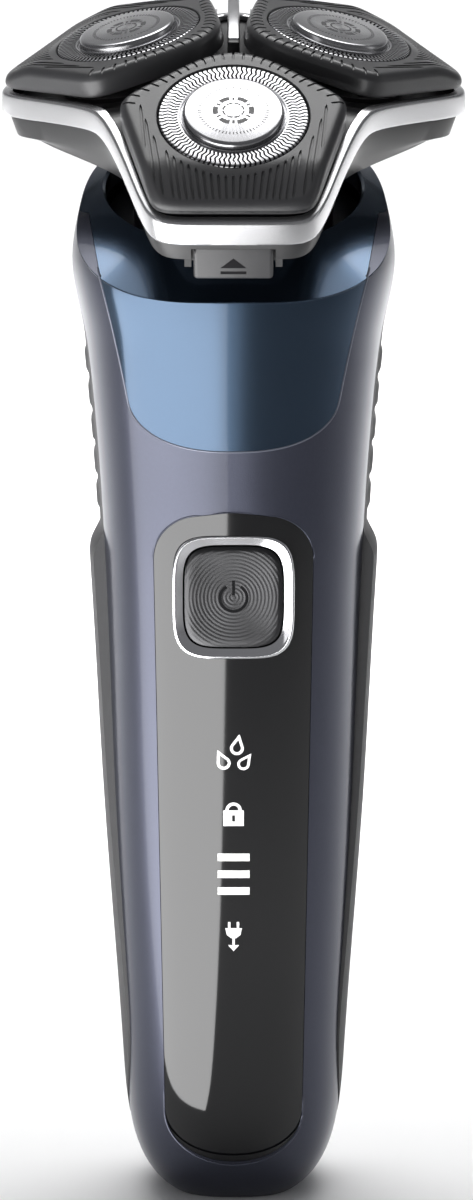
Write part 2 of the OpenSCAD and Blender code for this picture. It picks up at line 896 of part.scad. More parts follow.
// Outline of a gear, with a tooth on the X axis
function gear_outline(teeth, r) = [
    for (k = [0:teeth - 1], p = [[-0.3, -1.1], [-0.12, 0.75], [0.12, 0.75], [0.3, -1.1]])
        let (a = (k + p[0]) * 360 / teeth, d = r + p[1] * gear_module)
        [d * cos(a), d * sin(a)]
];

// A bevel gear whose teeth shrink towards the apex of its cone, apex_d below its middle
module bevel_gear(teeth, r, apex_d) {
    low = 1 - gear_h / 2 / apex_d;
    top = 1 + gear_h / 2 / apex_d;
    translate([0, 0, -gear_h / 2])
        linear_extrude(gear_h, scale = top / low) polygon(gear_outline(teeth, r) * low);
}

module central_gear() {
    color(white_colour) at_head() difference() {
        union() {
            translate([0, 0, gear_mid]) rotate([0, 0, 30])
                bevel_gear(central_teeth, central_r, apex_depth + gear_mid);
            disc(hub_r, base_low - 0.6, gear_mid);
        }
        disc(coupling_r + 0.35, -60, coupling_top + 0.5, 6);
    }
}

module driven_gear(i) {
    color(white_colour) at_unit(i) difference() {
        translate([0, 0, driven_mid])
            bevel_gear(driven_teeth, driven_r, driven_r / tan(driven_cone));
        disc(post_r + running_fit, -30, 0, 24);
    }
}
module driven_gear_front() driven_gear(FRONT);
module driven_gear_left() driven_gear(LEFT);
module driven_gear_right() driven_gear(RIGHT);

module spindle(i) {
    color(dark_colour) at_unit(i) union() {
        disc(1.8, driven_mid + gear_h / 2, spindle_neck, 32);
        disc(1.5, spindle_neck - 0.5, spindle_top, 6);
    }
}
module spindle_front() spindle(FRONT);
module spindle_left() spindle(LEFT);
module spindle_right() spindle(RIGHT);

// ---------------------------------------------------------------- release button

module release_button() {
    color(dark_colour) at_head() union() {
        block([-button_half, button_face, button_low_z], [button_half, button_back - 0.1, button_top - 3.6]);
        block([-button_half + 0.5, button_face + 0.5, button_top - 4], [button_half - 0.5, button_back - 0.1, button_top]);
    }
}

spring_wire = 0.2;
spring_r = 0.9;

// A helix of round wire from z = 0 up to z = length
module coil_spring(length, coils, r, wire) {
    steps = coils * 14;
    ring = [for (k = [0:steps]) let (a = k * 360 / 14) [
        for (b = [0:60:359]) let (d = r + wire * cos(b))
            [d * cos(a), d * sin(a), wire + (length - 2 * wire) * k / steps + wire * sin(b)]
    ]];
    m = 6;
    points = [for (s = ring) each s];
    faces = [
        for (k = [0:steps - 1], i = [0:m - 1]) let (j = (i + 1) % m)
            each [[k * m + i, (k + 1) * m + j, k * m + j], [k * m + i, (k + 1) * m + i, (k + 1) * m + j]]
    ];
    ends = [[for (i = [0:m - 1]) i], [for (i = [m - 1:-1:0]) steps * m + i]];
    polyhedron(points, concat(faces, ends));
}

module release_spring() {
    color(steel_colour) at_head() translate([0, button_back, -15.2]) rotate([-90, 0, 0])
        coil_spring(release_travel + 0.45, 3, spring_r, 0.12);
}

// ---------------------------------------------------------------- flip-open frame

module frame_band() {
    color(silver_colour) difference() {
        as_one_mesh() {
            at_head() loop_loft([
                for (a = head_angles) [
                    lobe_point(band_wall, a, frame_low), lobe_point(0.15, a, frame_low),
                    lobe_point(0, a, frame_low + 0.3), lobe_point(0, a, frame_top - 0.3),
                    lobe_point(0.3, a, frame_top), lobe_point(band_wall, a, frame_top)
                ]
            ]);
            at_head() for (s = [-1, 1]) frame_arm(s);
        }
        hinge_bore(running_fit);
    }
}

// An arm from the foot of the band at the waist back and down to the hinge pin
module frame_arm(side) {
    inner = 2.3;
    outer = 4.2;
    top = crowned(waist_r, 60, frame_low) + 1.6;
    translate([side > 0 ? inner : -outer, 0, 0]) union() {
        block([0, waist_r - 1, top - 1.5], [outer - inner, hinge_y, top]);
        block([0, waist_r + 0.6, hinge_z], [outer - inner, hinge_y, top]);
        translate([0, hinge_y, hinge_z]) rotate([0, 90, 0]) cylinder(r = 1.8, h = outer - inner, $fn = 32);
    }
}

// The plate inside the band rises where two lobes meet
function plate_lift(a) = 1.1 * smooth((folded(a) - 42) / 14);

// A ring across the plate, at a share of its radius, that follows the crown of the head
function plate_ring(share, h, lift = 0) = [
    for (a = head_angles)
        let (r = share * (frame_radius(a) - band_wall - touch))
        at_angle(r, a, crowned(r, a, h + lift * plate_lift(a)))
];

module frame_plate() {
    color(dark_colour) as_one_mesh() difference() {
        at_head() ring_loft([
            plate_ring(0.1, frame_low),
            plate_ring(0.5, frame_low),
            plate_ring(1, frame_low),
            plate_ring(1, plate_top, lift = 1),
            plate_ring(0.5, plate_top),
            plate_ring(0.1, plate_top)
        ]);
        for (i = [FRONT, LEFT, RIGHT]) at_unit(i) disc(retainer_r + touch, -30, 0);
        spine_block(touch);
    }
}

// The rib that stands between the two rear units, grown by grow
module spine_block(grow = 0) {
    at_head() block([-0.8 - grow, 4.6 - grow, -5.2], [0.8 + grow, waist_r - band_wall - touch + grow, 0.6]);
}

module frame_spine() {
    color(silver_colour) spine_block();
}

module retaining_ring(i) {
    color(dark_colour) at_unit(i) difference() {
        disc(retainer_r, frame_low + 0.2, plate_top + 0.55);
        disc(6.5, frame_low, 0);
        for (turn = [30, 150, 270]) rotate([0, 0, turn])
            block([7.6, -1.2, frame_low], [9.6, 1.2, 0]);
    }
}
module retaining_ring_front() retaining_ring(FRONT);
module retaining_ring_left() retaining_ring(LEFT);
module retaining_ring_right() retaining_ring(RIGHT);

// ---------------------------------------------------------------- shaving units

nose_angle = 141.7;
nose_power = 3.84;
cap_side_angle = 75.3;
cap_power = 14;

function facing(a, b, d) = max(0, cos(a - b)) / d;

// Radius of a cap's outline at an angle in its unit's frame
function cap_radius(a) =
    let (
        nose = pow(pow(facing(a, nose_angle, guard_r + cap_rim), nose_power)
            + pow(facing(a, -nose_angle, guard_r + cap_rim), nose_power), 1 / nose_power),
        sides = [
            nose, facing(a, 0, guard_r + 5.6),
            facing(a, cap_side_angle, guard_r + 4.1), facing(a, -cap_side_angle, guard_r + 4.1)
        ]
    )
    pow([for (s = sides) pow(s, cap_power)] * [1, 1, 1, 1], -1 / cap_power);

// How far the cap's top falls away towards its outer edge
function cap_fall(x) = 1.8 * smooth((x - guard_r + 1.5) / 8);

function cap_ring(inset, h, follow) = [
    for (a = [0:5:359.9])
        let (r = cap_radius(a) - inset, x = r * cos(a))
        [x, r * sin(a), h - follow * cap_fall(x)]
];

module cap(i) {
    color(dark_colour) at_unit(i) difference() {
        ring_loft([
            cap_ring(0.25, -cap_h, 0), cap_ring(0, -cap_h + 0.3, 0), cap_ring(0, -1.15, 0.6),
            cap_ring(0.3, -0.4, 0.9), cap_ring(1, -0.05, 1), cap_ring(3, 0, 1)
        ]);
        disc(guard_r + 0.08, -9, 5, 64);
        disc(guard_r + 0.9, -9, -2.15, 64);
    }
}
module cap_front() cap(FRONT);
module cap_left() cap(LEFT);
module cap_right() cap(RIGHT);

slot_count = 45;

module guard(i) {
    disc_r = guard_r - 3.3;
    flange = guard_r + 0.7;
    color(steel_colour) at_unit(i) difference() {
        rotate_extrude($fn = 72) polygon([
            [flange, -2.6], [flange, -2.25], [guard_r, -2.25], [guard_r, -0.3], [guard_r - 0.3, 0],
            [disc_r + 0.5, 0], [disc_r + 0.25, -0.3], [disc_r, 0.6], [disc_r - 0.35, 0.88], [0, 0.95],
            [0, 0.6], [disc_r - 0.5, 0.53], [disc_r - 0.35, 0.3], [disc_r - 0.1, -0.62],
            [disc_r + 0.5, -guard_wall], [guard_r - 0.5, -guard_wall], [guard_r - guard_wall, -0.5],
            [guard_r - guard_wall, -2.6]
        ]);
        for (k = [0:slot_count - 1]) rotate([0, 0, k * 360 / slot_count])
            block([disc_r + 0.7, -0.22, -0.7], [guard_r - 0.35, 0.22, 0.3]);
    }
}
module guard_front() guard(FRONT);
module guard_left() guard(LEFT);
module guard_right() guard(RIGHT);

cutter_hub_r = 3;
cutter_low = -4.6;

module cutter(i) {
    disc_r = guard_r - 1.1;
    color(steel_colour) at_unit(i) difference() {
        union() {
            disc(disc_r, -3.4, -2.9, 64);
            disc(cutter_hub_r, cutter_low, -1.4, 48);
            for (k = [0:cutter_blades - 1]) rotate([0, 0, k * 360 / cutter_blades])
                block([disc_r - 1.4, -0.3, -3], [disc_r - 0.1, 0.3, -0.5]);
        }
        disc(2.35, cutter_low - 1, -1.9, 6);
    }
}
module cutter_front() cutter(FRONT);
module cutter_left() cutter(LEFT);
module cutter_right() cutter(RIGHT);

front_shell();
rear_grip();
collar();
display_panel();
status_icons();
button_ring();
chassis();
battery();
battery_contacts();
circuit_board();
board_parts();
tact_switch();
status_leds();
light_guide();
charging_socket();
charging_pins();
chassis_screws();
top_plate();
shaft_seal();
motor_screws();
motor_can();
motor_end_cap();
motor_magnets();
motor_bearings();
armature();
motor_shaft();
drive_coupling();
power_button();
hair_chamber();
gear_cover();
gear_base();
neck_seal();
hinge_pin();
central_gear();
driven_gear_front();
driven_gear_left();
driven_gear_right();
spindle_front();
spindle_left();
spindle_right();
release_button();
release_spring();
frame_band();
frame_plate();
frame_spine();
retaining_ring_front();
retaining_ring_left();
retaining_ring_right();
cap_front();
cap_left();
cap_right();
guard_front();
guard_left();
guard_right();
cutter_front();
cutter_left();
cutter_right();
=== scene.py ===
"""Looks of the rotary shaver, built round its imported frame. Sizes are in millimetres until a mesh is made."""

import json
import math

import bmesh
import bpy
import numpy as np
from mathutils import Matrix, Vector


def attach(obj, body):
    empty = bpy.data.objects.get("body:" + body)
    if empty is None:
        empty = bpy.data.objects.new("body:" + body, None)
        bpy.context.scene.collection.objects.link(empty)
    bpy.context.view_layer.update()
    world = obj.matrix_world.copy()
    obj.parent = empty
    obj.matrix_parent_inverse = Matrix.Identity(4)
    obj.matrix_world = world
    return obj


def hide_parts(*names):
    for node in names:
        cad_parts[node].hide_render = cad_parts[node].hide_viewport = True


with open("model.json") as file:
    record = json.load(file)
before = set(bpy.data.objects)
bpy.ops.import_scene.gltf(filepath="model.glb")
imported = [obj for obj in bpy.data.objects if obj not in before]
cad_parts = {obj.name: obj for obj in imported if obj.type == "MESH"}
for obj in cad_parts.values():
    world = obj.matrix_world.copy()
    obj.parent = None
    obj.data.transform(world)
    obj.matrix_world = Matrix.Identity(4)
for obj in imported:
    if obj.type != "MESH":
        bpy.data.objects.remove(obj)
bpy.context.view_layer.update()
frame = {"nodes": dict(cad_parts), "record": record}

# ------------------------------------------------------------------ sizes, as in the CAD source
RIM_H, RIM_Y, RISE, TILT, UNIT_TILT = 143.0, 1.5, 19.0, 20.0, 15.0
TOE_W, WAIST_W, SHOULDER_W, RIM_W = 30.8, 37.0, 44.2, 40.0
FRONT, BACK = 21.0, 17.6
WALL, STEP, SEAM_Y = 1.8, 1.7, -8.5
STEP_Z = RIM_H - 50
COLLAR_Z = RIM_H - 32.7
BUTTON_Z = RIM_H - 52.8
BUTTON_W, BUTTON_H, RING_BAND = 13.3, 13.9, 1.6
PANEL_TOP, PANEL_BOTTOM, PANEL_LOW, PANEL_T = 10.8, 9.6, 7.2, 1.1
PANEL_TOP_Z = BUTTON_Z + 11.7
GUARD_R, CAP_RIM, GAP = 10.0, 2.6, 3.64
CAP_H, CAP_GAP, FRAME_H, BAND_WALL = 3.4, 0.55, 3.25, 1.5
HINGE_Y, HINGE_Z, HINGE_R, PIN_R = 25.6, -8.5, 1.8, 0.8
RECESS_R, PLATE_Z, PLATE_H, BEVEL = 17.6, -24.0, 1.6, 0.36
TOE_H, TOE_FLAT, TOE_POWER, FRONT_POWER, BACK_POWER = 20.0, 2.0, 2.7, 2.6, 2.3


def sin(a):
    return np.sin(np.radians(a))


def cos(a):
    return np.cos(np.radians(a))


HEAD_Y = RIM_Y - RISE * sin(TILT)
HEAD_Z = RIM_H + RISE * cos(TILT)
REACH = (GUARD_R + CAP_RIM + GAP / 2) / sin(60)
FRAME_TOP = -(CAP_H + CAP_GAP)
FRAME_LOW = FRAME_TOP - FRAME_H
CHAMBER_TOP = FRAME_LOW - 0.3
FLOOR_TOP, FLOOR_LOW = -13.1, -14.3
UNITS = {"front": -90, "left": 150, "right": 30}
MM = 0.001


# ------------------------------------------------------------------ places
def at_head(p):
    p = np.asarray(p, float)
    return np.stack([p[:, 0], HEAD_Y + p[:, 1] * cos(TILT) - p[:, 2] * sin(TILT),
                     HEAD_Z + p[:, 1] * sin(TILT) + p[:, 2] * cos(TILT)], 1)


def at_unit(p, name):
    p = np.asarray(p, float)
    x = p[:, 0] * cos(UNIT_TILT) + p[:, 2] * sin(UNIT_TILT) + REACH
    z = -p[:, 0] * sin(UNIT_TILT) + p[:, 2] * cos(UNIT_TILT)
    a = UNITS[name]
    return at_head(np.stack([x * cos(a) - p[:, 1] * sin(a), x * sin(a) + p[:, 1] * cos(a), z], 1))


# ------------------------------------------------------------------ mesh code
def piece(name, verts, faces, sharp=32):
    """A mesh object from points in millimetres, in the row frame."""
    mesh = bpy.data.meshes.new(name)
    mesh.from_pydata((np.asarray(verts, float) * MM).tolist(), [], [list(map(int, f)) for f in faces])
    obj = bpy.data.objects.new(name, mesh)
    bpy.context.scene.collection.objects.link(obj)
    tidy(obj, sharp)
    return obj


def tidy(obj, sharp=32):
    bm = bmesh.new()
    bm.from_mesh(obj.data)
    bmesh.ops.recalc_face_normals(bm, faces=bm.faces)
    bm.to_mesh(obj.data)
    bm.free()
    obj.data.polygons.foreach_set("use_smooth", [True] * len(obj.data.polygons))
    obj.data.set_sharp_from_angle(angle=math.radians(sharp))
    return obj


def loft(rings, loop=False):
    """Points and faces through rings of points; with loop the last ring meets the first."""
    n, m = len(rings), len(rings[0])
    points = np.concatenate([np.asarray(r, float) for r in rings])
    faces = [(k * m + i, k * m + (i + 1) % m, (k + 1) % n * m + (i + 1) % m, (k + 1) % n * m + i)
             for k in range(n if loop else n - 1) for i in range(m)]
    if not loop:
        points = np.concatenate([points, [np.mean(rings[0], 0)], [np.mean(rings[-1], 0)]])
        faces += [(i, (i + 1) % m, n * m) for i in range(m)]
        faces += [((n - 1) * m + (i + 1) % m, (n - 1) * m + i, n * m + 1) for i in range(m)]
    return points, faces


def prism(outline, place, low, high):
    """A closed prism: outline is 2-D, and place turns (outline, depth) into 3-D points."""
    m = len(outline)
    outline = np.asarray(outline, float)
    points = np.concatenate([place(outline, low), place(outline, high)])
    faces = [(i, (i + 1) % m, m + (i + 1) % m, m + i) for i in range(m)]
    return points, faces + [list(range(m))[::-1], list(range(m, 2 * m))]


def lathe(profile, sides=128):
    """A closed profile of (radius, height) turned about Z; points on the axis close it."""
    angles = np.arange(sides) * 360 / sides
    rings = []
    for r, z in profile:
        r = max(r, 1e-4)
        rings.append(np.stack([r * cos(angles), r * sin(angles), np.full(sides, z)], 1))
    return loft(rings) if profile[0][0] < 1e-3 and profile[-1][0] < 1e-3 else loft(rings, True)


def joined(*parts):
    """Several (points, faces) as one."""
    points, faces, base = [], [], 0
    for p, f in parts:
        points.append(np.asarray(p, float))
        faces += [[i + base for i in face] for face in f]
        base += len(p)
    return np.concatenate(points), faces


def cut(obj, *cutters, op="DIFFERENCE", sharp=32):
    for points, faces in cutters:
        tool = piece("tool", points, faces)
        change = obj.modifiers.new("cut", "BOOLEAN")
        change.operation, change.solver, change.object = op, "MANIFOLD", tool
        depsgraph = bpy.context.evaluated_depsgraph_get()
        depsgraph.update()
        mesh = bpy.data.meshes.new_from_object(obj.evaluated_get(depsgraph))
        mesh.materials.clear()
        obj.modifiers.clear()
        obj.data = mesh
        bpy.data.objects.remove(tool)
    return tidy(obj, sharp)


def of(obj):
    """An object's own points in millimetres, and its faces."""
    co = np.array([v.co for v in obj.data.vertices], float) / MM
    return co, [list(p.vertices) for p in obj.data.polygons]


def merge(obj, *others):
    """Joins other objects into obj, with their materials."""
    bm = bmesh.new()
    bm.from_mesh(obj.data)
    for other in others:
        base = len(obj.data.materials)
        start = len(bm.faces)
        for material in other.data.materials:
            obj.data.materials.append(material)
        bm.from_mesh(other.data)
        bm.faces.ensure_lookup_table()
        for face in bm.faces[start:]:
            face.material_index += base
        bpy.data.objects.remove(other)
    bm.to_mesh(obj.data)
    bm.free()
    return obj


def bead(points, r, sides=8, closed=False):
    """A round bead along points."""
    points = np.asarray(points, float)
    if closed:
        along = np.roll(points, -1, 0) - np.roll(points, 1, 0)
    else:
        along = np.gradient(points, axis=0)
    along /= np.linalg.norm(along, axis=1)[:, None]
    up = np.array([0.13, -0.2, 0.97])
    rings = []
    for p, t in zip(points, along):
        u = np.cross(t, up)
        u /= np.linalg.norm(u)
        v = np.cross(t, u)
        b = np.arange(sides) * 360 / sides
        rings.append(p + r * (cos(b)[:, None] * u + sin(b)[:, None] * v))
    return loft(rings, closed)


# ------------------------------------------------------------------ materials
def shader(name, colour, rough, metal=0.0, coat=0.0, ior=1.5, noise=0.0, scale=400.0, bump=0.0,
           bump_scale=900.0, level=0.5):
    """A Principled surface whose colour and roughness vary a little, with a fine grain."""
    mat = bpy.data.materials.new(name)
    mat.use_nodes = True
    tree = mat.node_tree
    bsdf = tree.nodes["Principled BSDF"]
    bsdf.inputs["Metallic"].default_value = metal
    bsdf.inputs["Coat Weight"].default_value = coat
    bsdf.inputs["Coat Roughness"].default_value = 0.04
    bsdf.inputs["IOR"].default_value = ior
    bsdf.inputs["Specular IOR Level"].default_value = level
    place = tree.nodes.new("ShaderNodeTexCoord")
    grain = tree.nodes.new("ShaderNodeTexNoise")
    grain.inputs["Scale"].default_value = scale
    grain.inputs["Detail"].default_value = 4.0
    tree.links.new(place.outputs["Object"], grain.inputs["Vector"])
    ramp = tree.nodes.new("ShaderNodeValToRGB")
    second = tuple(min(1, c * (1 + noise)) for c in colour)
    first = tuple(c * (1 - noise) for c in colour)
    ramp.color_ramp.elements[0].position, ramp.color_ramp.elements[1].position = 0.3, 0.7
    ramp.color_ramp.elements[0].color = (*first, 1)
    ramp.color_ramp.elements[1].color = (*second, 1)
    tree.links.new(grain.outputs["Fac"], ramp.inputs["Fac"])
    tree.links.new(ramp.outputs["Color"], bsdf.inputs["Base Color"])
    span = tree.nodes.new("ShaderNodeMapRange")
    span.inputs["To Min"].default_value = max(0.02, rough * 0.93)
    span.inputs["To Max"].default_value = rough * 1.07
    tree.links.new(grain.outputs["Fac"], span.inputs["Value"])
    tree.links.new(span.outputs["Result"], bsdf.inputs["Roughness"])
    if bump:
        fine = tree.nodes.new("ShaderNodeTexNoise")
        fine.inputs["Scale"].default_value = bump_scale
        fine.inputs["Detail"].default_value = 3.0
        tree.links.new(place.outputs["Object"], fine.inputs["Vector"])
        raised = tree.nodes.new("ShaderNodeBump")
        raised.inputs["Strength"].default_value = bump
        raised.inputs["Distance"].default_value = 0.0001
        tree.links.new(fine.outputs["Fac"], raised.inputs["Height"])
        tree.links.new(raised.outputs["Normal"], bsdf.inputs["Normal"])
    return mat


def ringed(mat, centre, axis, pitch, strength):
    """Adds fine turned rings round an axis to a material's surface. Sizes in metres."""
    tree = mat.node_tree
    bsdf = tree.nodes["Principled BSDF"]
    place = tree.nodes.new("ShaderNodeTexCoord")
    shift = tree.nodes.new("ShaderNodeVectorMath")
    shift.operation = "SUBTRACT"
    shift.inputs[1].default_value = centre
    tree.links.new(place.outputs["Object"], shift.inputs[0])
    across = tree.nodes.new("ShaderNodeVectorMath")
    across.operation = "CROSS_PRODUCT"
    across.inputs[1].default_value = Vector(axis).normalized()
    tree.links.new(shift.outputs["Vector"], across.inputs[0])
    length = tree.nodes.new("ShaderNodeVectorMath")
    length.operation = "LENGTH"
    tree.links.new(across.outputs["Vector"], length.inputs[0])
    wave = tree.nodes.new("ShaderNodeMath")
    wave.operation = "MULTIPLY"
    wave.inputs[1].default_value = 2 * math.pi / pitch
    tree.links.new(length.outputs["Value"], wave.inputs[0])
    sine = tree.nodes.new("ShaderNodeMath")
    sine.operation = "SINE"
    tree.links.new(wave.outputs["Value"], sine.inputs[0])
    raised = tree.nodes.new("ShaderNodeBump")
    raised.inputs["Strength"].default_value = strength
    raised.inputs["Distance"].default_value = 0.00002
    tree.links.new(sine.outputs["Value"], raised.inputs["Height"])
    tree.links.new(raised.outputs["Normal"], bsdf.inputs["Normal"])
    return mat


M = {
    "shell_lavender": shader("shell_lavender", (0.052, 0.056, 0.080), 0.30, 0.7, 0.2, noise=0.03, scale=2600,
                             bump=0.10, bump_scale=5200),
    "grip_rubber": shader("grip_rubber", (0.050, 0.050, 0.052), 0.62, noise=0.06, bump=0.35, bump_scale=2200,
                          level=0.4),
    "collar_blue": shader("collar_blue", (0.038, 0.061, 0.096), 0.17, 0.9, 0.25, noise=0.02, scale=2600),
    "panel_black": shader("panel_black", (0.003, 0.003, 0.0035), 0.06, ior=1.60, noise=0.05),
    "icon_white": shader("icon_white", (0.95, 0.95, 0.95), 0.45, noise=0.01),
    "chrome_ring": shader("chrome_ring", (0.80, 0.80, 0.82), 0.11, 1.0, noise=0.01),
    "dark_plastic": shader("dark_plastic", (0.034, 0.034, 0.036), 0.36, noise=0.05, bump=0.12, bump_scale=3000),
    "black_plastic": shader("black_plastic", (0.014, 0.014, 0.015), 0.40, noise=0.05, bump=0.10, bump_scale=2600),
    "brushed_dark": shader("brushed_dark", (0.115, 0.115, 0.120), 0.33, 0.9, noise=0.06),
    "silver_frame": shader("silver_frame", (0.50, 0.50, 0.51), 0.22, 0.9, noise=0.008, scale=2600),
    "guard_steel": shader("guard_steel", (0.36, 0.36, 0.37), 0.22, 1.0, noise=0.02),
    "steel": shader("steel", (0.50, 0.50, 0.52), 0.30, 1.0, noise=0.03),
    "brass": shader("brass", (0.72, 0.50, 0.20), 0.28, 1.0, noise=0.03),
    "cell_wrap": shader("cell_wrap", (0.06, 0.24, 0.12), 0.35, noise=0.04),
    "board_green": shader("board_green", (0.02, 0.12, 0.06), 0.40, noise=0.10),
    "white_acetal": shader("white_acetal", (0.80, 0.80, 0.78), 0.40, noise=0.02),
    "magnet": shader("magnet", (0.08, 0.08, 0.09), 0.50, 0.3, noise=0.06),
    "copper": shader("copper", (0.55, 0.22, 0.09), 0.34, 1.0, noise=0.08),
    "seal_rubber": shader("seal_rubber", (0.02, 0.02, 0.02), 0.70, noise=0.06),
}
# Painted highlight: the seam bead's colour is about three times lighter than the shell, standing in for the bright
# line of light along the collar seam.
SEAM_HIGHLIGHT = shader("seam_painted_highlight", (0.15, 0.16, 0.20), 0.30, 0.6, noise=0.02)
MARK = shader("guard_mark", (0.030, 0.030, 0.032), 0.45, noise=0.05)
BUTTON = ringed(shader("button_face", (0.060, 0.060, 0.062), 0.30, 0.95, noise=0.03), (0, 0, BUTTON_Z * MM), (0, 1, 0),
                0.00050, 0.30)
SYMBOL = shader("button_symbol", (0.006, 0.006, 0.007), 0.60, noise=0.03, level=0.1)
EJECT = shader("eject_symbol", (0.006, 0.006, 0.007), 0.60, noise=0.03, level=0.1)

for name, node in frame["nodes"].items():
    used = next(s["material_slot"] for s in frame["record"]["subparts"] if s["node"] == name)
    node.data.materials.clear()
    node.data.materials.append(M[used])


def wear(obj, slot, body, *nodes, mat=None):
    """Gives a piece its material and its body, and hides the CAD nodes it stands for."""
    if not obj.data.materials:
        obj.data.materials.append(mat or M[slot])
    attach(obj, body)
    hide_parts(*nodes)
    return obj


# ------------------------------------------------------------------ handle form
def curve(pairs, z):
    pairs = np.asarray(pairs, float)
    x, y = pairs[:, 0], pairs[:, 1]
    t = np.empty(len(x))
    t[1:-1] = (y[2:] - y[:-2]) / (x[2:] - x[:-2])
    t[0], t[-1] = (y[1] - y[0]) / (x[1] - x[0]), (y[-1] - y[-2]) / (x[-1] - x[-2])
    k = np.clip(np.searchsorted(x, z, side="right") - 1, 0, len(x) - 2)
    h = x[k + 1] - x[k]
    u = np.clip((z - x[k]) / h, 0, 1)
    return ((2 * u**3 - 3 * u**2 + 1) * y[k] + (u**3 - 2 * u**2 + u) * h * t[k]
            + (3 * u**2 - 2 * u**3) * y[k + 1] + (u**3 - u**2) * h * t[k + 1])


def smooth(t):
    t = np.clip(t, 0, 1)
    return t * t * (3 - 2 * t)


def mix(a, b, t):
    return a + (b - a) * t


HALF = [(0, TOE_W / 2), (0.12 * RIM_H, TOE_W / 2), (0.40 * RIM_H, mix(TOE_W, WAIST_W, 0.58) / 2),
        (0.68 * RIM_H, WAIST_W / 2), (0.86 * RIM_H, mix(WAIST_W, SHOULDER_W, 0.53) / 2),
        (0.937 * RIM_H, SHOULDER_W / 2), (1.014 * RIM_H, RIM_W / 2), (1.07 * RIM_H, RIM_W / 2 - 1.4)]
FRONTS = [(0, FRONT - 7), (0.07 * RIM_H, FRONT - 6.3), (0.31 * RIM_H, FRONT - 3), (0.64 * RIM_H, FRONT),
          (0.78 * RIM_H, FRONT + 0.7), (0.92 * RIM_H, FRONT + 1.9), (1.07 * RIM_H, FRONT + 2.4)]
BACKS = [(0, BACK - 4.6), (0.07 * RIM_H, BACK - 4), (0.31 * RIM_H, BACK - 1), (0.64 * RIM_H, BACK),
         (0.80 * RIM_H, BACK + 1.8), (0.88 * RIM_H, BACK + 3.5), (1.0 * RIM_H, BACK + 4.6), (1.07 * RIM_H, BACK + 4.6)]


def signed_pow(v, p):
    return np.sign(v) * np.abs(v) ** p


def grip_at(z):
    return STEP * np.clip((z - 9) / (STEP_Z - 11), 0, 1) * (1 - smooth((z - STEP_Z) / 4.4))


def rib_at(z, y):
    """Height of the raised ribs at a height and a depth."""
    z, y = np.asarray(z, float), np.asarray(y, float)
    u = (z - STEP_Z - 6.2) / 4.7
    inside = (u > 0) & (u < 5)
    f = (u - np.floor(u)) * 4.7
    across = smooth(f / 0.7) * smooth((3.5 - f) / 0.7)
    side = smooth((y + 6.4) / 1.6) * smooth((6.8 - y) / 1.6)
    return np.where(inside, 0.3 * across * side, 0)


def section(z, angles, grow=0.0, proud=False, ribs=False):
    t = 1.0 if z >= TOE_H else (1 - (1 - (z + TOE_FLAT) / (TOE_H + TOE_FLAT)) ** TOE_POWER) ** (1 / TOE_POWER)
    p = grip_at(z) if proud else 0.0
    hw = curve(HALF, z) * t + grow + p
    fd = curve(FRONTS, z) * t + grow
    bd = curve(BACKS, z) * t + grow + p
    s, c = sin(angles), cos(angles)
    front = s < 0
    e = np.where(front, FRONT_POWER, BACK_POWER)
    x = hw * signed_pow(c, 2 / e)
    y = np.where(front, fd, bd) * signed_pow(s, 2 / e)
    if ribs:
        x = x + np.sign(x) * rib_at(z, y)
    return np.stack([x, y, np.full(len(x), z)], 1)


ANGLES = np.arange(0, 360, 1.5) + 0.75


def form(grow=0.0, low=0.0, proud=False, ribs=False, top=RIM_H + 10):
    levels = [low + (TOE_H - low) * (i / 18) ** 1.5 for i in range(18)]
    levels += list(np.linspace(TOE_H, STEP_Z - 1, 50, endpoint=False))
    levels += list(np.arange(STEP_Z - 1, RIM_H - 18, 0.4 if ribs or proud else 1.6))
    levels += list(np.arange(RIM_H - 18, top, 1.3)) + [top]
    return loft([section(z, ANGLES, grow, proud, ribs) for z in levels])


def front_at(x, z, grow=0.0):
    hw, fd = curve(HALF, z) + grow, curve(FRONTS, z) + grow
    return -fd * (1 - np.abs(x / hw) ** FRONT_POWER) ** (1 / FRONT_POWER)


def above_bevel(drop=0.0):
    top = -RISE + 0.1 - drop
    low = PLATE_Z - PLATE_H + 0.3
    p, f = lathe([(0, low), (RECESS_R, low), (RECESS_R, top - 0.35), (RECESS_R + 0.35, top - 0.02),
                  (RECESS_R + 40, top - 40 * BEVEL), (RECESS_R + 40, 60), (0, 60)], 192)
    return at_head(p), f


def collar_half(z, grow=0.0):
    u = z - COLLAR_Z + grow
    return (13.0 + 0.16 * u + 0.0022 * u * u) * (1 - (1 - np.clip(u / 6.5, 0, 1)) ** 2.4) ** (1 / 2.4) + grow


def collar_zone(grow):
    u = np.concatenate([6.5 * (np.arange(0, 31) / 30) ** 2.2, np.arange(8, 47, 1.0)]) - grow
    right = np.stack([collar_half(COLLAR_Z + u, grow), COLLAR_Z + u], 1)
    outline = np.concatenate([right, (right * [-1, 1])[:0:-1]])
    a = prism(outline, lambda o, y: np.stack([o[:, 0], np.full(len(o), y), o[:, 1]], 1), -60.0, 0.7)
    back = RIM_H - 2.5 - grow
    side = [(-8 - grow, back - 1), (0, back), (40, back + 8), (40, back + 60), (-8 - grow, back + 60)]
    b = prism(side, lambda o, x: np.stack([np.full(len(o), x), o[:, 0], o[:, 1]], 1), -60.0, 60.0)
    whole = piece("zone", *a)
    cut(whole, b, op="UNION")
    made = of(whole)
    bpy.data.objects.remove(whole)
    return made


def rear_zone(grow):
    low, top, bend = 8 - grow, RIM_H - 9 + grow, 16.0
    a = np.arange(0, 91, 3.0)
    y = SEAM_Y - grow + bend * (1 - signed_pow(cos(a), 0.8))
    first = np.stack([y, low + 24 * (1 - signed_pow(sin(a), 0.8))], 1)
    last = np.stack([y, top - 20 * (1 - signed_pow(sin(a), 0.8))], 1)[::-1]
    outline = np.concatenate([first, [(60, low - 4), (60, top + 6)], last])
    return prism(outline, lambda o, x: np.stack([np.full(len(o), x), o[:, 0], o[:, 1]], 1), -60.0, 60.0)


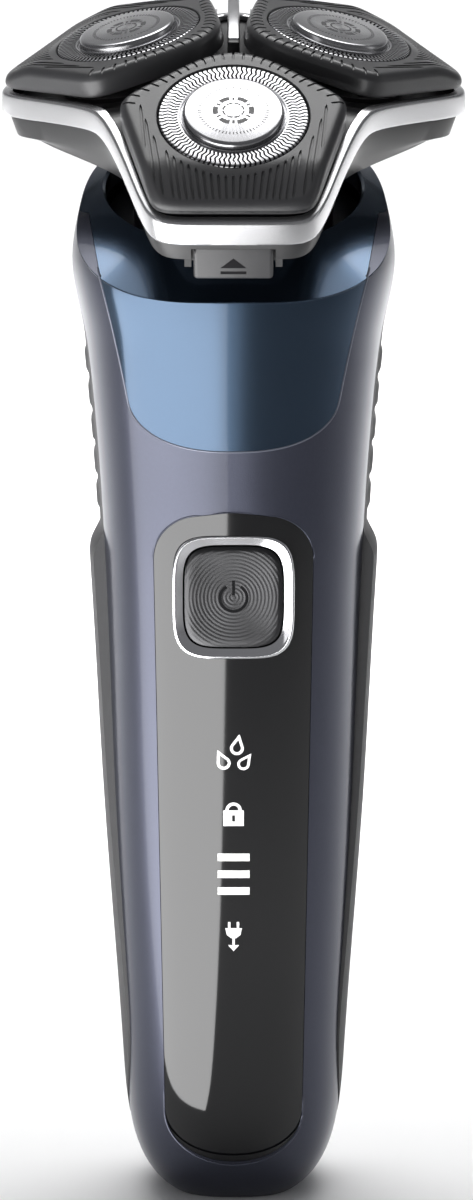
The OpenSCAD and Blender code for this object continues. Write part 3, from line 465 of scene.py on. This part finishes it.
def hull(points):
    """Convex outline of 2-D points, anticlockwise."""
    points = sorted(map(tuple, points))
    chains = []
    for run in (points, points[::-1]):
        chain = []
        for p in run:
            while len(chain) > 1 and ((chain[-1][0] - chain[-2][0]) * (p[1] - chain[-2][1])
                                      - (chain[-1][1] - chain[-2][1]) * (p[0] - chain[-2][0])) <= 1e-9:
                chain.pop()
            chain.append(p)
        chains += chain[:-1]
    return np.array(chains)


def panel_outline(grow):
    a = np.arange(0, 360, 3.0)
    c, s = cos(a), sin(a)
    sets = [np.stack([PANEL_BOTTOM * c, PANEL_LOW + 7.4 + 7.4 * s], 1),
            np.stack([PANEL_TOP * 6.4 / 7.2 * c, PANEL_TOP_Z - 6.4 + 6.4 * s], 1)]
    for side in (-1, 1):
        sets.append(np.stack([side * (PANEL_BOTTOM - 4.6) + 4.6 * c, PANEL_LOW + 9.4 + 4.6 * s], 1))
        sets.append(np.stack([side * (PANEL_TOP - 6.4) + 6.4 * c, PANEL_TOP_Z - 6.9 + 6.4 * s], 1))
    outline = hull(np.concatenate(sets))
    step = np.roll(outline, -1, 0) - np.roll(outline, 1, 0)
    out = np.stack([step[:, 1], -step[:, 0]], 1) / np.linalg.norm(step, axis=1)[:, None]
    return outline + out * grow


def from_front(outline, low=-60.0, high=SEAM_Y):
    return prism(outline, lambda o, y: np.stack([o[:, 0], np.full(len(o), y), o[:, 1]], 1), low, high)


def squircle(w, h, n=120, e=4.2):
    a = np.arange(n) * 360 / n
    return np.stack([w / 2 * signed_pow(cos(a), 2 / e), BUTTON_Z + h / 2 * signed_pow(sin(a), 2 / e)], 1)


# ------------------------------------------------------------------ handle pieces
ZONE = collar_zone(0.0)
shell = piece("front_shell_skin", *form())
cut(shell, form(-WALL, WALL), rear_zone(0.06), collar_zone(0.06), above_bevel())
cut(shell, from_front(panel_outline(-0.5)), sharp=30)
ledge = piece("ledge", *from_front(panel_outline(0.05)))
cut(ledge, form(-PANEL_T))
cut(shell, of(ledge), sharp=30)
bpy.data.objects.remove(ledge)
shell.data.materials.append(M["shell_lavender"])

z = np.concatenate([COLLAR_Z - 0.06 + 6.5 * (np.arange(0, 31) / 30) ** 2.2, np.arange(COLLAR_Z + 7, RIM_H - 8, 1.0)])
half = collar_half(z, 0.06)
right = np.stack([half + 0.02, front_at(half + 0.02, z, -0.10), z], 1)
# The seam bead is real relief; its lighter colour is a painted highlight along the seam.
seam = piece("seam", *bead(np.concatenate([(right * [-1, 1, 1])[:0:-1], right]), 0.17))
seam.data.materials.append(SEAM_HIGHLIGHT)
lip_line = panel_outline(0.10)
lip_line = np.stack([lip_line[:, 0], front_at(lip_line[:, 0], lip_line[:, 1], -0.12), lip_line[:, 1]], 1)
lip = piece("lip", *bead(lip_line, 0.16, closed=True))
lip.data.materials.append(M["shell_lavender"])
merge(shell, seam, lip)
wear(shell, "shell_lavender", "handle", "front_shell")

grip = piece("rear_grip_skin", *form(proud=True, ribs=True))
cut(grip, rear_zone(0.0), op="INTERSECT")
cut(grip, form(-WALL, WALL), collar_zone(0.03))
wear(grip, "grip_rubber", "handle", "rear_grip")

collar = piece("collar_skin", *form())
cut(collar, ZONE, op="INTERSECT")
inner = piece("inner", *form(-WALL, WALL))
slab_corners = (-60, -60), (60, -60), (60, 60), (-60, 60)
slab = np.array([(x, y, z) for z in (PLATE_Z - PLATE_H + 0.4, 60) for x, y in slab_corners])
cut(inner, (at_head(slab), [(0, 1, 5, 4), (1, 2, 6, 5), (2, 3, 7, 6), (3, 0, 4, 7), (3, 2, 1, 0), (4, 5, 6, 7)]))
cut(collar, above_bevel(), of(inner), sharp=28)
bpy.data.objects.remove(inner)
collar.data.materials.append(M["collar_blue"])


def rim_line(angles):
    """Where the collar's bevel meets the outside of the handle."""
    points = []
    for a in angles:
        lo, hi = RIM_H - 26, RIM_H + 9
        for _ in range(30):
            z = (lo + hi) / 2
            x, y, _z = section(z, np.array([a]), -0.12)[0]
            dy, dz = y - HEAD_Y, z - HEAD_Z
            v, w = dy * cos(TILT) + dz * sin(TILT), -dy * sin(TILT) + dz * cos(TILT)
            above = w > -RISE + 0.1 - BEVEL * (math.hypot(x, v) - RECESS_R)
            lo, hi = (lo, z) if above else (z, hi)
        points.append((x, y, lo - 0.10))
    return points


edge = piece("edge", *bead(rim_line(np.arange(0, 360, 2.0) + 0.75), 0.16, closed=True))
edge.data.materials.append(M["collar_blue"])
merge(collar, edge)
wear(collar, "collar_blue", "handle", "collar")

panel = piece("display_panel_skin", *form())
cut(panel, from_front(panel_outline(-0.04)), op="INTERSECT")
cut(panel, form(-PANEL_T), from_front(squircle(BUTTON_W + 2 * RING_BAND + 0.05, BUTTON_H + 2 * RING_BAND + 0.05)), sharp=30)
wear(panel, "panel_black", "handle", "display_panel")

# Display icons: three drops, a padlock, three bars and a plug over an arrow


def drop_outline(x, y, r, turn):
    a = np.linspace(150, 390, 26)
    body = np.stack([r * cos(a), r * sin(a)], 1)
    points = np.concatenate([body, [(0.05 * r, 2.1 * r), (-0.05 * r, 2.1 * r)]])
    c, s = cos(turn), sin(turn)
    return points @ np.array([[c, s], [-s, c]]) + [x, y]


def box_outline(x0, y0, x1, y1):
    return np.array([(x0, y0), (x1, y0), (x1, y1), (x0, y1)], float)


def band_outline(x, y, r0, r1, start, end, n=24):
    a = np.linspace(start, end, n)
    outer = np.stack([x + r1 * cos(a), y + r1 * sin(a)], 1)
    inner_ = np.stack([x + r0 * cos(a), y + r0 * sin(a)], 1)[::-1]
    return np.concatenate([outer, inner_])


def icon(outline, hole=None):
    """An icon's outline swept through the panel, with a hole if there is one."""
    if hole is None:
        return from_front(outline)
    rings = [np.stack([o[:, 0], np.full(len(o), y), o[:, 1]], 1)
             for o, y in ((outline, -60.0), (outline, SEAM_Y), (hole, SEAM_Y), (hole, -60.0))]
    return loft(rings, True)


DROPS, LOCK, BARS, PLUG = BUTTON_Z - 22.6, BUTTON_Z - 30.6, BUTTON_Z - 39.5, BUTTON_Z - 48.5
shapes = []
for x, y, turn, r in ((0.45, 1.25, -10, 0.95), (-1.35, -0.85, 25, 0.95), (1.35, -1.0, -35, 0.85)):
    shapes.append(icon(drop_outline(x, DROPS + y, r, turn), drop_outline(x, DROPS + y + 0.02, r * 0.58, turn)))
shapes.append(icon(box_outline(-1.4, LOCK - 1.9, 1.4, LOCK + 0.35), None))
shapes.append(icon(band_outline(0, LOCK + 0.37, 0.68, 1.12, 0, 180)))
for k in (-1, 0, 1):
    shapes.append(icon(box_outline(-2.2, BARS + k * 2.45 - 0.55, 2.2, BARS + k * 2.45 + 0.55)))
shapes.append(icon(np.array([(-1.15, PLUG + 1.1), (1.15, PLUG + 1.1), (0.95, PLUG + 0.1), (0.3, PLUG - 0.4), (-0.3, PLUG - 0.4),
                             (-0.95, PLUG + 0.1)])[::-1]))
for s in (-1, 1):
    shapes.append(icon(box_outline(s * 0.6 - 0.17, PLUG + 1.05, s * 0.6 + 0.17, PLUG + 2.0)))
shapes.append(icon(box_outline(-0.17, PLUG - 1.5, 0.17, PLUG - 0.3)))
shapes.append(icon(np.array([(-0.75, PLUG - 1.4), (0, PLUG - 2.3), (0.75, PLUG - 1.4)])))
icons = piece("status_icons_skin", *form(0.02))
cut(icons, form(-0.3))
cut(icons, joined(*shapes), op="INTERSECT")
cut(icons, from_front(box_outline(-0.2, LOCK - 1.25, 0.2, LOCK - 0.35)), sharp=30)
wear(icons, "icon_white", "handle", "status_icons")


def rounded_ring(w, h, profile, n=160):
    """A loop of squircles: profile holds (grow, depth) and closes on itself."""
    rings = []
    for grow, y in profile:
        o = squircle(w + 2 * grow, h + 2 * grow, n)
        rings.append(np.stack([o[:, 0], np.full(n, y), o[:, 1]], 1))
    return rings


B = RING_BAND
ring = piece("button_ring_skin", *loft(rounded_ring(BUTTON_W, BUTTON_H, [
    (B, -FRONT + 2.4), (B, -FRONT + 0.10), (B - 0.06, -FRONT - 0.05), (B - 0.22, -FRONT - 0.15), (B - 0.42, -FRONT - 0.13),
    (B - 0.60, -FRONT - 0.02), (0.55, -FRONT + 0.22), (0.36, -FRONT + 0.30), (0.22, -FRONT + 0.36), (0.17, -FRONT + 0.6),
    (0.17, -FRONT + 2.4)]), True), sharp=40)
wear(ring, "chrome_ring", "handle", "button_ring")

steps = [(0, -FRONT + 2.4), (0, -FRONT + 0.35)]
steps += [(-0.7 * (1 - cos(t)), -FRONT + 0.35 - 0.40 * sin(t)) for t in range(15, 91, 15)]
steps += [(-1.4, -FRONT - 0.03), (-2.4, -FRONT + 0.02), (-3.6, -FRONT + 0.05), (-5.0, -FRONT + 0.07), (-6.3, -FRONT + 0.08)]
key = piece("power_button_skin", *loft(rounded_ring(BUTTON_W, BUTTON_H, steps)), sharp=40)
a = np.arange(0, 360, 8.0)
stem = piece("stem", *loft([np.stack([3 * cos(a), np.full(len(a), y), BUTTON_Z + 3 * sin(a)], 1) for y in (-FRONT + 2.3, -FRONT + 3.2)]))
key.data.materials.append(BUTTON)
stem.data.materials.append(M["dark_plastic"])


def emblem(outline, y, lift):
    return prism(outline, lambda o, d: np.stack([o[:, 0], np.full(len(o), d), o[:, 1]], 1), y - lift, y + 0.2)


symbol = piece("symbol", *joined(emblem(band_outline(0, BUTTON_Z - 0.1, 1.62, 2.02, 122, 418, 48), -FRONT + 0.06, 0.035),
                                 emblem(box_outline(-0.2, BUTTON_Z + 0.3, 0.2, BUTTON_Z + 2.3), -FRONT + 0.06, 0.035)))
symbol.data.materials.append(SYMBOL)
merge(key, stem, symbol)
wear(key, "brushed_dark", "power_key", "power_button")


# ------------------------------------------------------------------ head outlines
def folded(a):
    return np.abs((np.mod(a, 120) + 180) % 120 - 60)


OUTER = REACH + (GUARD_R + 5.6) * cos(UNIT_TILT)
SIDE_A = 74.3
SIDE = REACH * cos(SIDE_A) + GUARD_R + 4.7


def frame_radius(a):
    t = folded(a)
    side, mirror = SIDE / cos(t - SIDE_A), SIDE / cos(120 - t - SIDE_A)
    valley = np.where(t < 25, side, (np.abs(side) ** 11 + np.abs(mirror) ** 11) ** (1 / 11))
    return ((OUTER / cos(t)) ** -16 + valley ** -16) ** (-1 / 16)


WAIST = float(frame_radius(np.array([60.0]))[0])


def lobe_share(a):
    t = folded(a)
    return (cos(t) ** 8 + np.maximum(0, cos(120 - t)) ** 8) ** (1 / 8)


def crowned(r, a, h):
    return (h - (r * lobe_share(a) - REACH) * sin(UNIT_TILT)) / cos(UNIT_TILT)


TURN = np.arange(0, 360, 1.5)


def lobe_ring(inset, h, a=TURN):
    r = frame_radius(a) - inset
    return np.stack([r * cos(a - 90), r * sin(a - 90), crowned(r, a, h)], 1)


def flat_ring(inset, z, pull=1.0, a=TURN):
    r = mix(WAIST, frame_radius(a), pull) - inset
    return np.stack([r * cos(a - 90), r * sin(a - 90), np.full(len(a), float(z))], 1)


def head_piece(name, rings, loop=False, sharp=32):
    p, f = loft(rings, loop)
    return piece(name, at_head(p), f, sharp)


def head_box(lo, hi):
    corners = (lo[0], lo[1]), (hi[0], lo[1]), (hi[0], hi[1]), (lo[0], hi[1])
    p = np.array([(x, y, z) for z in (lo[2], hi[2]) for x, y in corners], float)
    return at_head(p), [(0, 1, 5, 4), (1, 2, 6, 5), (2, 3, 7, 6), (3, 0, 4, 7), (3, 2, 1, 0), (4, 5, 6, 7)]


def x_rod(x0, x1, y, z, r, n=48):
    a = np.arange(n) * 360 / n
    p, f = loft([np.stack([np.full(n, x), y + r * cos(a), z + r * sin(a)], 1) for x in (x0, x1)])
    return at_head(p), f


def soften(obj, width, segments=3, angle=40):
    """Rounds a piece's edges."""
    mod = obj.modifiers.new("round", "BEVEL")
    mod.width, mod.segments, mod.limit_method, mod.angle_limit = width * MM, segments, "ANGLE", math.radians(angle)
    depsgraph = bpy.context.evaluated_depsgraph_get()
    depsgraph.update()
    mesh = bpy.data.meshes.new_from_object(obj.evaluated_get(depsgraph))
    obj.modifiers.clear()
    obj.data = mesh
    return tidy(obj, 30)


# ------------------------------------------------------------------ hair chamber and release button
chamber = head_piece("hair_chamber_skin", [
    flat_ring(5.6, FLOOR_LOW), flat_ring(4.9, FLOOR_LOW + 0.05),
    flat_ring(4.3, FLOOR_LOW + 0.25), flat_ring(4.0, FLOOR_LOW + 0.7),
    mix(flat_ring(4.0, FLOOR_LOW + 0.7), lobe_ring(2, CHAMBER_TOP - 3), 0.5),
    lobe_ring(2, CHAMBER_TOP - 3), lobe_ring(1.15, CHAMBER_TOP - 0.25), lobe_ring(1.2, CHAMBER_TOP - 0.06),
    lobe_ring(1.4, CHAMBER_TOP), lobe_ring(2.4, CHAMBER_TOP), lobe_ring(2.8, CHAMBER_TOP - 0.3),
    lobe_ring(3.6, CHAMBER_TOP - 3), flat_ring(6, FLOOR_TOP + 0.4), flat_ring(7, FLOOR_TOP)])
# Release button: half width, front, back, top and bottom
BH, BF, BB, BT, BUTTON_LOW = 5.25, -28.9, -27.3, -12.9, -17.9
frame_box = head_box((-BH - 1.2, -27.7, -16.6), (BH + 1.2, -24.9, BT + 1.2))
cut(chamber, frame_box, op="UNION")
cut(chamber, head_box((-BH - 0.3, -40, BUTTON_LOW - 0.3), (BH + 0.3, BB + 1.4, BT + 0.3)))
for s in (-1, 1):
    lo_x, hi_x = (4.5, 6.5) if s > 0 else (-6.5, -4.5)
    cut(chamber, head_box((lo_x, WAIST - 1.8, -11.5), (hi_x, HINGE_Y, -7.9)),
        x_rod(lo_x, hi_x, HINGE_Y, HINGE_Z, HINGE_R), op="UNION")
cut(chamber, x_rod(-20, 20, HINGE_Y, HINGE_Z, PIN_R), sharp=32)
wear(chamber, "black_plastic", "head_base", "hair_chamber")

button = piece("release_button_skin", *head_box((-BH, BF, BUTTON_LOW), (BH, BB - 0.1, BT - 0.1)))
soften(button, 0.55, 5)
eject = []
for outline in (np.array([(-1.7, -16.15), (1.7, -16.15), (0, -14.7)]), box_outline(-1.7, -17.05, 1.7, -16.65)):
    p, f = prism(outline, lambda o, d: np.stack([o[:, 0], np.full(len(o), d), o[:, 1]], 1), BF - 0.02, BF + 0.6)
    eject.append((at_head(p), f))
sign = piece("sign", *joined(*eject))
button.data.materials.append(M["dark_plastic"])
sign.data.materials.append(EJECT)
merge(button, sign)
wear(button, "dark_plastic", "release_key", "release_button")

# ------------------------------------------------------------------ flip-open frame
band = head_piece("frame_band_skin", [
    lobe_ring(BAND_WALL, FRAME_LOW), lobe_ring(0.5, FRAME_LOW),
    lobe_ring(0.22, FRAME_LOW + 0.06), lobe_ring(0.06, FRAME_LOW + 0.22),
    lobe_ring(0, FRAME_LOW + 0.5), lobe_ring(0, FRAME_TOP - 0.42),
    lobe_ring(0.05, FRAME_TOP - 0.18), lobe_ring(0.16, FRAME_TOP - 0.05),
    lobe_ring(0.34, FRAME_TOP), lobe_ring(1.3, FRAME_TOP),
    lobe_ring(BAND_WALL, FRAME_TOP - 0.15)], True, sharp=40)
top = float(crowned(np.array([WAIST]), np.array([60.0]), FRAME_LOW)[0]) + 1.6
arms = []
for x0, x1 in ((2.3, 4.2), (-4.2, -2.3)):
    arm = piece("arm", *head_box((x0, WAIST - 1, top - 1.5), (x1, HINGE_Y, top)))
    cut(arm, head_box((x0 + 0.01, WAIST + 0.6, HINGE_Z), (x1 - 0.01, HINGE_Y + 0.01, top - 0.01)),
        x_rod(x0, x1, HINGE_Y, HINGE_Z, HINGE_R), op="UNION")
    cut(arm, x_rod(-20, 20, 25.6, -8.5, 0.86))
    arms.append(arm)
merge(band, *arms)
band.data.materials.clear()
band.data.materials.append(M["silver_frame"])
wear(band, "silver_frame", "frame", "frame_band")

rise = 1.1 * smooth((folded(TURN) - 42) / 14)


def web_ring(share, h, lift=0.0):
    """A ring across the plate that follows the crown of the head."""
    r = share * (frame_radius(TURN) - 1.56)
    return np.stack([r * cos(TURN - 90), r * sin(TURN - 90), crowned(r, TURN, h + lift * rise)], 1)


web_top = FRAME_TOP - 1.95
web = head_piece("frame_plate_skin", [web_ring(0.1, FRAME_LOW), web_ring(0.5, FRAME_LOW),
                                      web_ring(1, FRAME_LOW), web_ring(1, web_top, 1.0),
                                      web_ring(0.75, web_top, 0.3), web_ring(0.5, web_top),
                                      web_ring(0.25, web_top), web_ring(0.1, web_top)])
for name in UNITS:
    p, f = lathe([(0, -30), (GUARD_R + 0.55, -30), (GUARD_R + 0.55, 0), (0, 0)], 96)
    cut(web, (at_unit(p, name), f))
cut(web, head_box((-0.85, 4.55, -5.2), (0.85, WAIST - 1.5, 0.65)), sharp=25)
wear(web, "dark_plastic", "frame", "frame_plate")

spine = piece("frame_spine_skin", *head_box((-0.8, 5.6, -5.2), (0.8, WAIST - 1.55, 0.6)))
soften(spine, 0.22, 3)
foot = piece("foot", *head_box((-0.78, 4.62, -5.2), (0.78, 5.75, 0.42)))
soften(foot, 0.18, 3)
spine.data.materials.append(M["silver_frame"])
foot.data.materials.append(M["black_plastic"])
merge(spine, foot)
wear(spine, "silver_frame", "frame", "frame_spine")


# ------------------------------------------------------------------ caps
def facing(a, b, d):
    return np.maximum(0, cos(a - b)) / d


def cap_radius(a):
    nose = (facing(a, 141.7, GUARD_R + CAP_RIM) ** 3.84 + facing(a, -141.7, GUARD_R + CAP_RIM) ** 3.84) ** (1 / 3.84)
    sides = [nose, facing(a, 0, GUARD_R + 5.6), facing(a, 75.3, GUARD_R + 4.1), facing(a, -75.3, GUARD_R + 4.1)]
    return sum(s**14 for s in sides) ** (-1 / 14)


def cap_fall(x):
    return 1.8 * smooth((x - GUARD_R + 1.5) / 8)


def cap_ring(inset, h, follow, a=np.arange(0, 360, 1.5)):
    r = cap_radius(a) - inset
    x = r * cos(a)
    return np.stack([x, r * sin(a), h - follow * cap_fall(x)], 1)


def cap_top(x, y):
    """Height of the cap's top at a point of the unit."""
    a = np.degrees(np.arctan2(y, x))
    inset = cap_radius(a) - np.hypot(x, y)
    t = np.clip(1 - inset / 1.3, -1, 1)
    edge_drop = np.where(inset < 1.3, 1.3 * (1 - np.sqrt(np.clip(1 - t * t, 0, 1))), 0)
    return -cap_fall(x) - edge_drop


def groove(x0, y0, x1, y1, width, depth):
    """A cutter that follows the cap's top from one point to the other."""
    n = 14
    t = np.linspace(0, 1, n)
    x, y = mix(x0, x1, t), mix(y0, y1, t)
    side = np.array([-(y1 - y0), x1 - x0]) / math.hypot(x1 - x0, y1 - y0)
    w = width / 2 * np.sqrt(np.clip(1 - np.abs(2 * t - 1) ** 14, 0.10, 1))
    z = cap_top(x, y)
    rings = []
    for i in range(n):
        sx, sy = side * w[i]
        rings.append([(x[i] + sx, y[i] + sy, z[i] + 0.7), (x[i] + sx, y[i] + sy, z[i] - depth * 0.8),
                      (x[i] + sx * 0.5, y[i] + sy * 0.5, z[i] - depth), (x[i] - sx * 0.5, y[i] - sy * 0.5, z[i] - depth),
                      (x[i] - sx, y[i] - sy, z[i] - depth * 0.8), (x[i] - sx, y[i] - sy, z[i] + 0.7)])
    return loft(rings)


def inside_reach(y0, y1, x0, limit):
    """How far a groove that starts at x0 can run outwards before the edge's rounding."""
    x = x0
    while x < 16:
        t = (x - x0) / max(1e-6, 14.2 - x0)
        y = mix(y0, y1, min(1, t))
        if cap_radius(np.degrees(np.arctan2(y, x))) - math.hypot(x, y) < limit:
            break
        x += 0.1
    return x - 0.1


grooves = []
for k in range(-12, 13):
    y0, y1 = k * 0.98, k * 0.86
    if abs(y0) < 9.0:
        x0 = math.sqrt(11.1**2 - y0 * y0)
    else:
        x0 = {9: 6.2, 10: 3.9, 11: 0.6, 12: -2.2}.get(abs(k), 6.2)
        y0 = math.copysign({9: 9.2, 10: 10.5, 11: 11.6, 12: 12.3}[abs(k)], k)
        y1 = math.copysign({9: 7.9, 10: 9.1, 11: 10.0, 12: 11.0}[abs(k)], k)
    x1 = inside_reach(y0, y1, x0, 1.0 if abs(k) < 9 else 1.25)
    if x1 - x0 > 1.2:
        t = (x1 - x0) / (14.2 - x0)
        grooves.append(groove(x0, y0, x1, mix(y0, y1, min(1, t)), 0.40, 0.26))
for a in list(np.arange(101, 260, 6.6)):
    r1 = float(cap_radius(a)) - 0.35
    r0 = max(r1 - 1.75, 10.75)
    grooves.append(groove(r0 * cos(a), r0 * sin(a), r1 * cos(a), r1 * sin(a), 0.34, 0.24))

cap_rings = [cap_ring(0.5, -CAP_H, 0), cap_ring(0.25, -CAP_H + 0.02, 0), cap_ring(0.06, -CAP_H + 0.14, 0),
             cap_ring(0, -CAP_H + 0.35, 0), cap_ring(0, -2.2, 0.3)]
for t in np.arange(0, 91, 10.0):
    cap_rings.append(cap_ring(1.3 * (1 - cos(t)), -1.3 * (1 - sin(t)), 1.0))
for inset in (1.6, 2.0, 2.5):
    cap_rings.append(cap_ring(inset, 0, 1.0))
for r in (11.0, 10.3, 9.5, 5.0):
    flat = np.minimum(cap_radius(TURN) - 2.55, r)
    cap_rings.append(np.stack([flat * cos(TURN), flat * sin(TURN), -cap_fall(flat * cos(TURN))], 1))
cap_master = piece("cap_master", *loft(cap_rings), sharp=30)
hole = lathe([(0, -9), (GUARD_R + 0.9, -9), (GUARD_R + 0.9, -2.15), (GUARD_R + 0.1, -2.15), (GUARD_R + 0.1, -0.12),
              (GUARD_R + 0.24, 0.02), (GUARD_R + 0.24, 5), (0, 5)], 144)
cut(cap_master, hole)
cut(cap_master, joined(*grooves), sharp=28)
cap_points, cap_faces = of(cap_master)
bpy.data.objects.remove(cap_master)

# ------------------------------------------------------------------ guards
D = GUARD_R - 3.3
F = GUARD_R + 0.7
guard_master = piece("guard_master", *lathe([
    (0, 0.60), (D - 0.5, 0.53), (D - 0.35, 0.3), (D - 0.1, -0.62), (D + 0.5, -0.35), (GUARD_R - 0.5, -0.35),
    (GUARD_R - 0.35, -0.5), (GUARD_R - 0.35, -2.6), (F, -2.6), (F, -2.25), (GUARD_R, -2.25), (GUARD_R, -0.32),
    (GUARD_R - 0.05, -0.16), (GUARD_R - 0.16, -0.05), (GUARD_R - 0.32, 0.0), (D + 0.62, 0.0), (D + 0.46, -0.04), (D + 0.30, -0.26),
    (D + 0.18, -0.28), (D + 0.06, -0.12), (D, 0.40), (D - 0.05, 0.60), (D - 0.16, 0.76), (D - 0.34, 0.86), (D - 0.6, 0.90), (0, 0.96)], 180),
    sharp=40)
slots = []
for k in range(90):
    bends = [(D + 0.66, 0), (D + 1.3, 1.7), (D + 2.0, -0.2), (D + 2.7, 1.6), (GUARD_R + 0.2, 0.6)]
    line = np.array([(r * cos(k * 4 + a), r * sin(k * 4 + a)) for r, a in bends])
    along = np.gradient(line, axis=0)
    side = np.stack([-along[:, 1], along[:, 0]], 1) / np.linalg.norm(along, axis=1)[:, None] * 0.145
    outline = np.concatenate([line - side, (line + side)[::-1]])
    slots.append(prism(outline, lambda o, d: np.stack([o[:, 0], o[:, 1], np.full(len(o), d)], 1), -0.75, 0.4))
cut(guard_master, joined(*slots), sharp=30)
guard_points, guard_faces = of(guard_master)
bpy.data.objects.remove(guard_master)


def flat_mark(outline):
    """A thin mark that lies on the guard's raised disc."""
    r = np.hypot(outline[:, 0], outline[:, 1])
    z = 0.96 - 0.06 * r / (D - 0.6)
    m = len(outline)
    p = np.concatenate([np.column_stack([outline, z + 0.012]), np.column_stack([outline, z - 0.05])])
    return p, [(i, (i + 1) % m, m + (i + 1) % m, m + i) for i in range(m)] + [list(range(m)), list(range(m, 2 * m))[::-1]]


marks = [flat_mark(band_outline(0, 0, 4.25, 4.72, k * 6 - 0.9, k * 6 + 0.9, 2)) for k in range(60)]
marks += [flat_mark(band_outline(0, 0, 1.25, 1.5, k * 45 + 4, k * 45 + 41, 8)) for k in range(8)]
marks += [flat_mark(band_outline(0, 0, 2.05, 2.75, k * 60 + 13, k * 60 + 47, 8)) for k in range(6)]
marks += [flat_mark(band_outline(0, 0, 1.95, 2.55, k * 60 - 4, k * 60 + 4, 3)) for k in range(6)]
mark_points, mark_faces = joined(*marks)

for name in UNITS:
    cap = piece("cap_skin_" + name, at_unit(cap_points, name), cap_faces, 28)
    wear(cap, "dark_plastic", "unit_" + name, "cap_" + name)
    guard = piece("guard_skin_" + name, at_unit(guard_points, name), guard_faces, 30)
    guard.data.materials.append(M["guard_steel"])
    mark = piece("mark", at_unit(mark_points, name), mark_faces)
    mark.data.materials.append(MARK)
    merge(guard, mark)
    wear(guard, "guard_steel", "unit_" + name, "guard_" + name)

for obj in frame["nodes"].values():
    if not obj.hide_render:
        obj.data.polygons.foreach_set("use_smooth", [True] * len(obj.data.polygons))
        obj.data.set_sharp_from_angle(angle=math.radians(30))

# ------------------------------------------------------------------ stage, light and camera
scene = bpy.context.scene
scene.view_settings.view_transform = "Standard"

backdrop_rings = []
bend = [(1.2 + 0.8 * sin(t), 0.8 - 0.8 * cos(t)) for t in range(10, 91, 10)]
for y, z in [(-3.0, 0.0), (1.2, 0.0)] + bend + [(2.0, 3.0)]:
    backdrop_rings.append((y, z))
points = [(x, y, z) for y, z in backdrop_rings for x in (-3.0, 3.0)]
faces = [(2 * i, 2 * i + 1, 2 * i + 3, 2 * i + 2) for i in range(len(backdrop_rings) - 1)]
floor = piece("floor", np.array(points) * 1000, faces)
floor.location.z = -0.00002
floor.data.materials.append(shader("floor_white", (0.88, 0.88, 0.88), 0.9, noise=0.004, scale=3, level=0.05))

world = bpy.data.worlds.new("studio")
scene.world = world
world.use_nodes = True
world.node_tree.nodes["Background"].inputs["Color"].default_value = (0.95, 0.96, 1.0, 1)
world.node_tree.nodes["Background"].inputs["Strength"].default_value = 0.18


def area(name, at, aim, width, height, power, spread=180):
    light = bpy.data.lights.new(name, "AREA")
    light.shape, light.size, light.size_y, light.energy = "RECTANGLE", width, height, power
    light.spread = math.radians(spread)
    obj = bpy.data.objects.new(name, light)
    scene.collection.objects.link(obj)
    obj.location = at
    obj.rotation_euler = (Vector(aim) - Vector(at)).to_track_quat("-Z", "Y").to_euler()
    obj.visible_camera = False
    return obj


area("top", (0, 0.16, 0.60), (0, 0, 0.15), 0.45, 0.35, 0.45, spread=110)
area("left", (-0.75, -0.62, 0.35), (0, 0, 0.10), 0.30, 0.9, 0.8)
area("right", (0.95, -0.10, 0.25), (0, 0, 0.10), 0.25, 0.9, 0.5)
area("back", (0, 0.9, 1.0), (0, 1.6, 0.2), 2.4, 0.8, 12, spread=120)
area("behind", (0, 0.42, 0.7), (0, 0.46, 0), 1.2, 0.6, 6, spread=80)

# Cards that lie on the floor in front and to the left: the glossy panel mirrors them
CARD_Z = 0.004
for name, side, near, far, glow in (("card_near", -0.008, -0.030, -0.64, 6.0), ("card_far", -0.32, -0.66, -1.10, 1.0)):
    width, depth = 0.5, near - far
    centre = (side - width / 2, (near + far) / 2)
    area(name, (*centre, CARD_Z), (*centre, 1), width, depth, glow * math.pi * width * depth)

camera = bpy.data.objects.new("camera", bpy.data.cameras.new("camera"))
scene.collection.objects.link(camera)
camera.data.lens = 133.5
camera.data.sensor_width = 36.0
camera.data.clip_start = 0.01
camera.location = (0.0004, -0.6063, 0.2216)
camera.rotation_euler = (math.radians(90 - 12.685), 0, 0)
scene.camera = camera
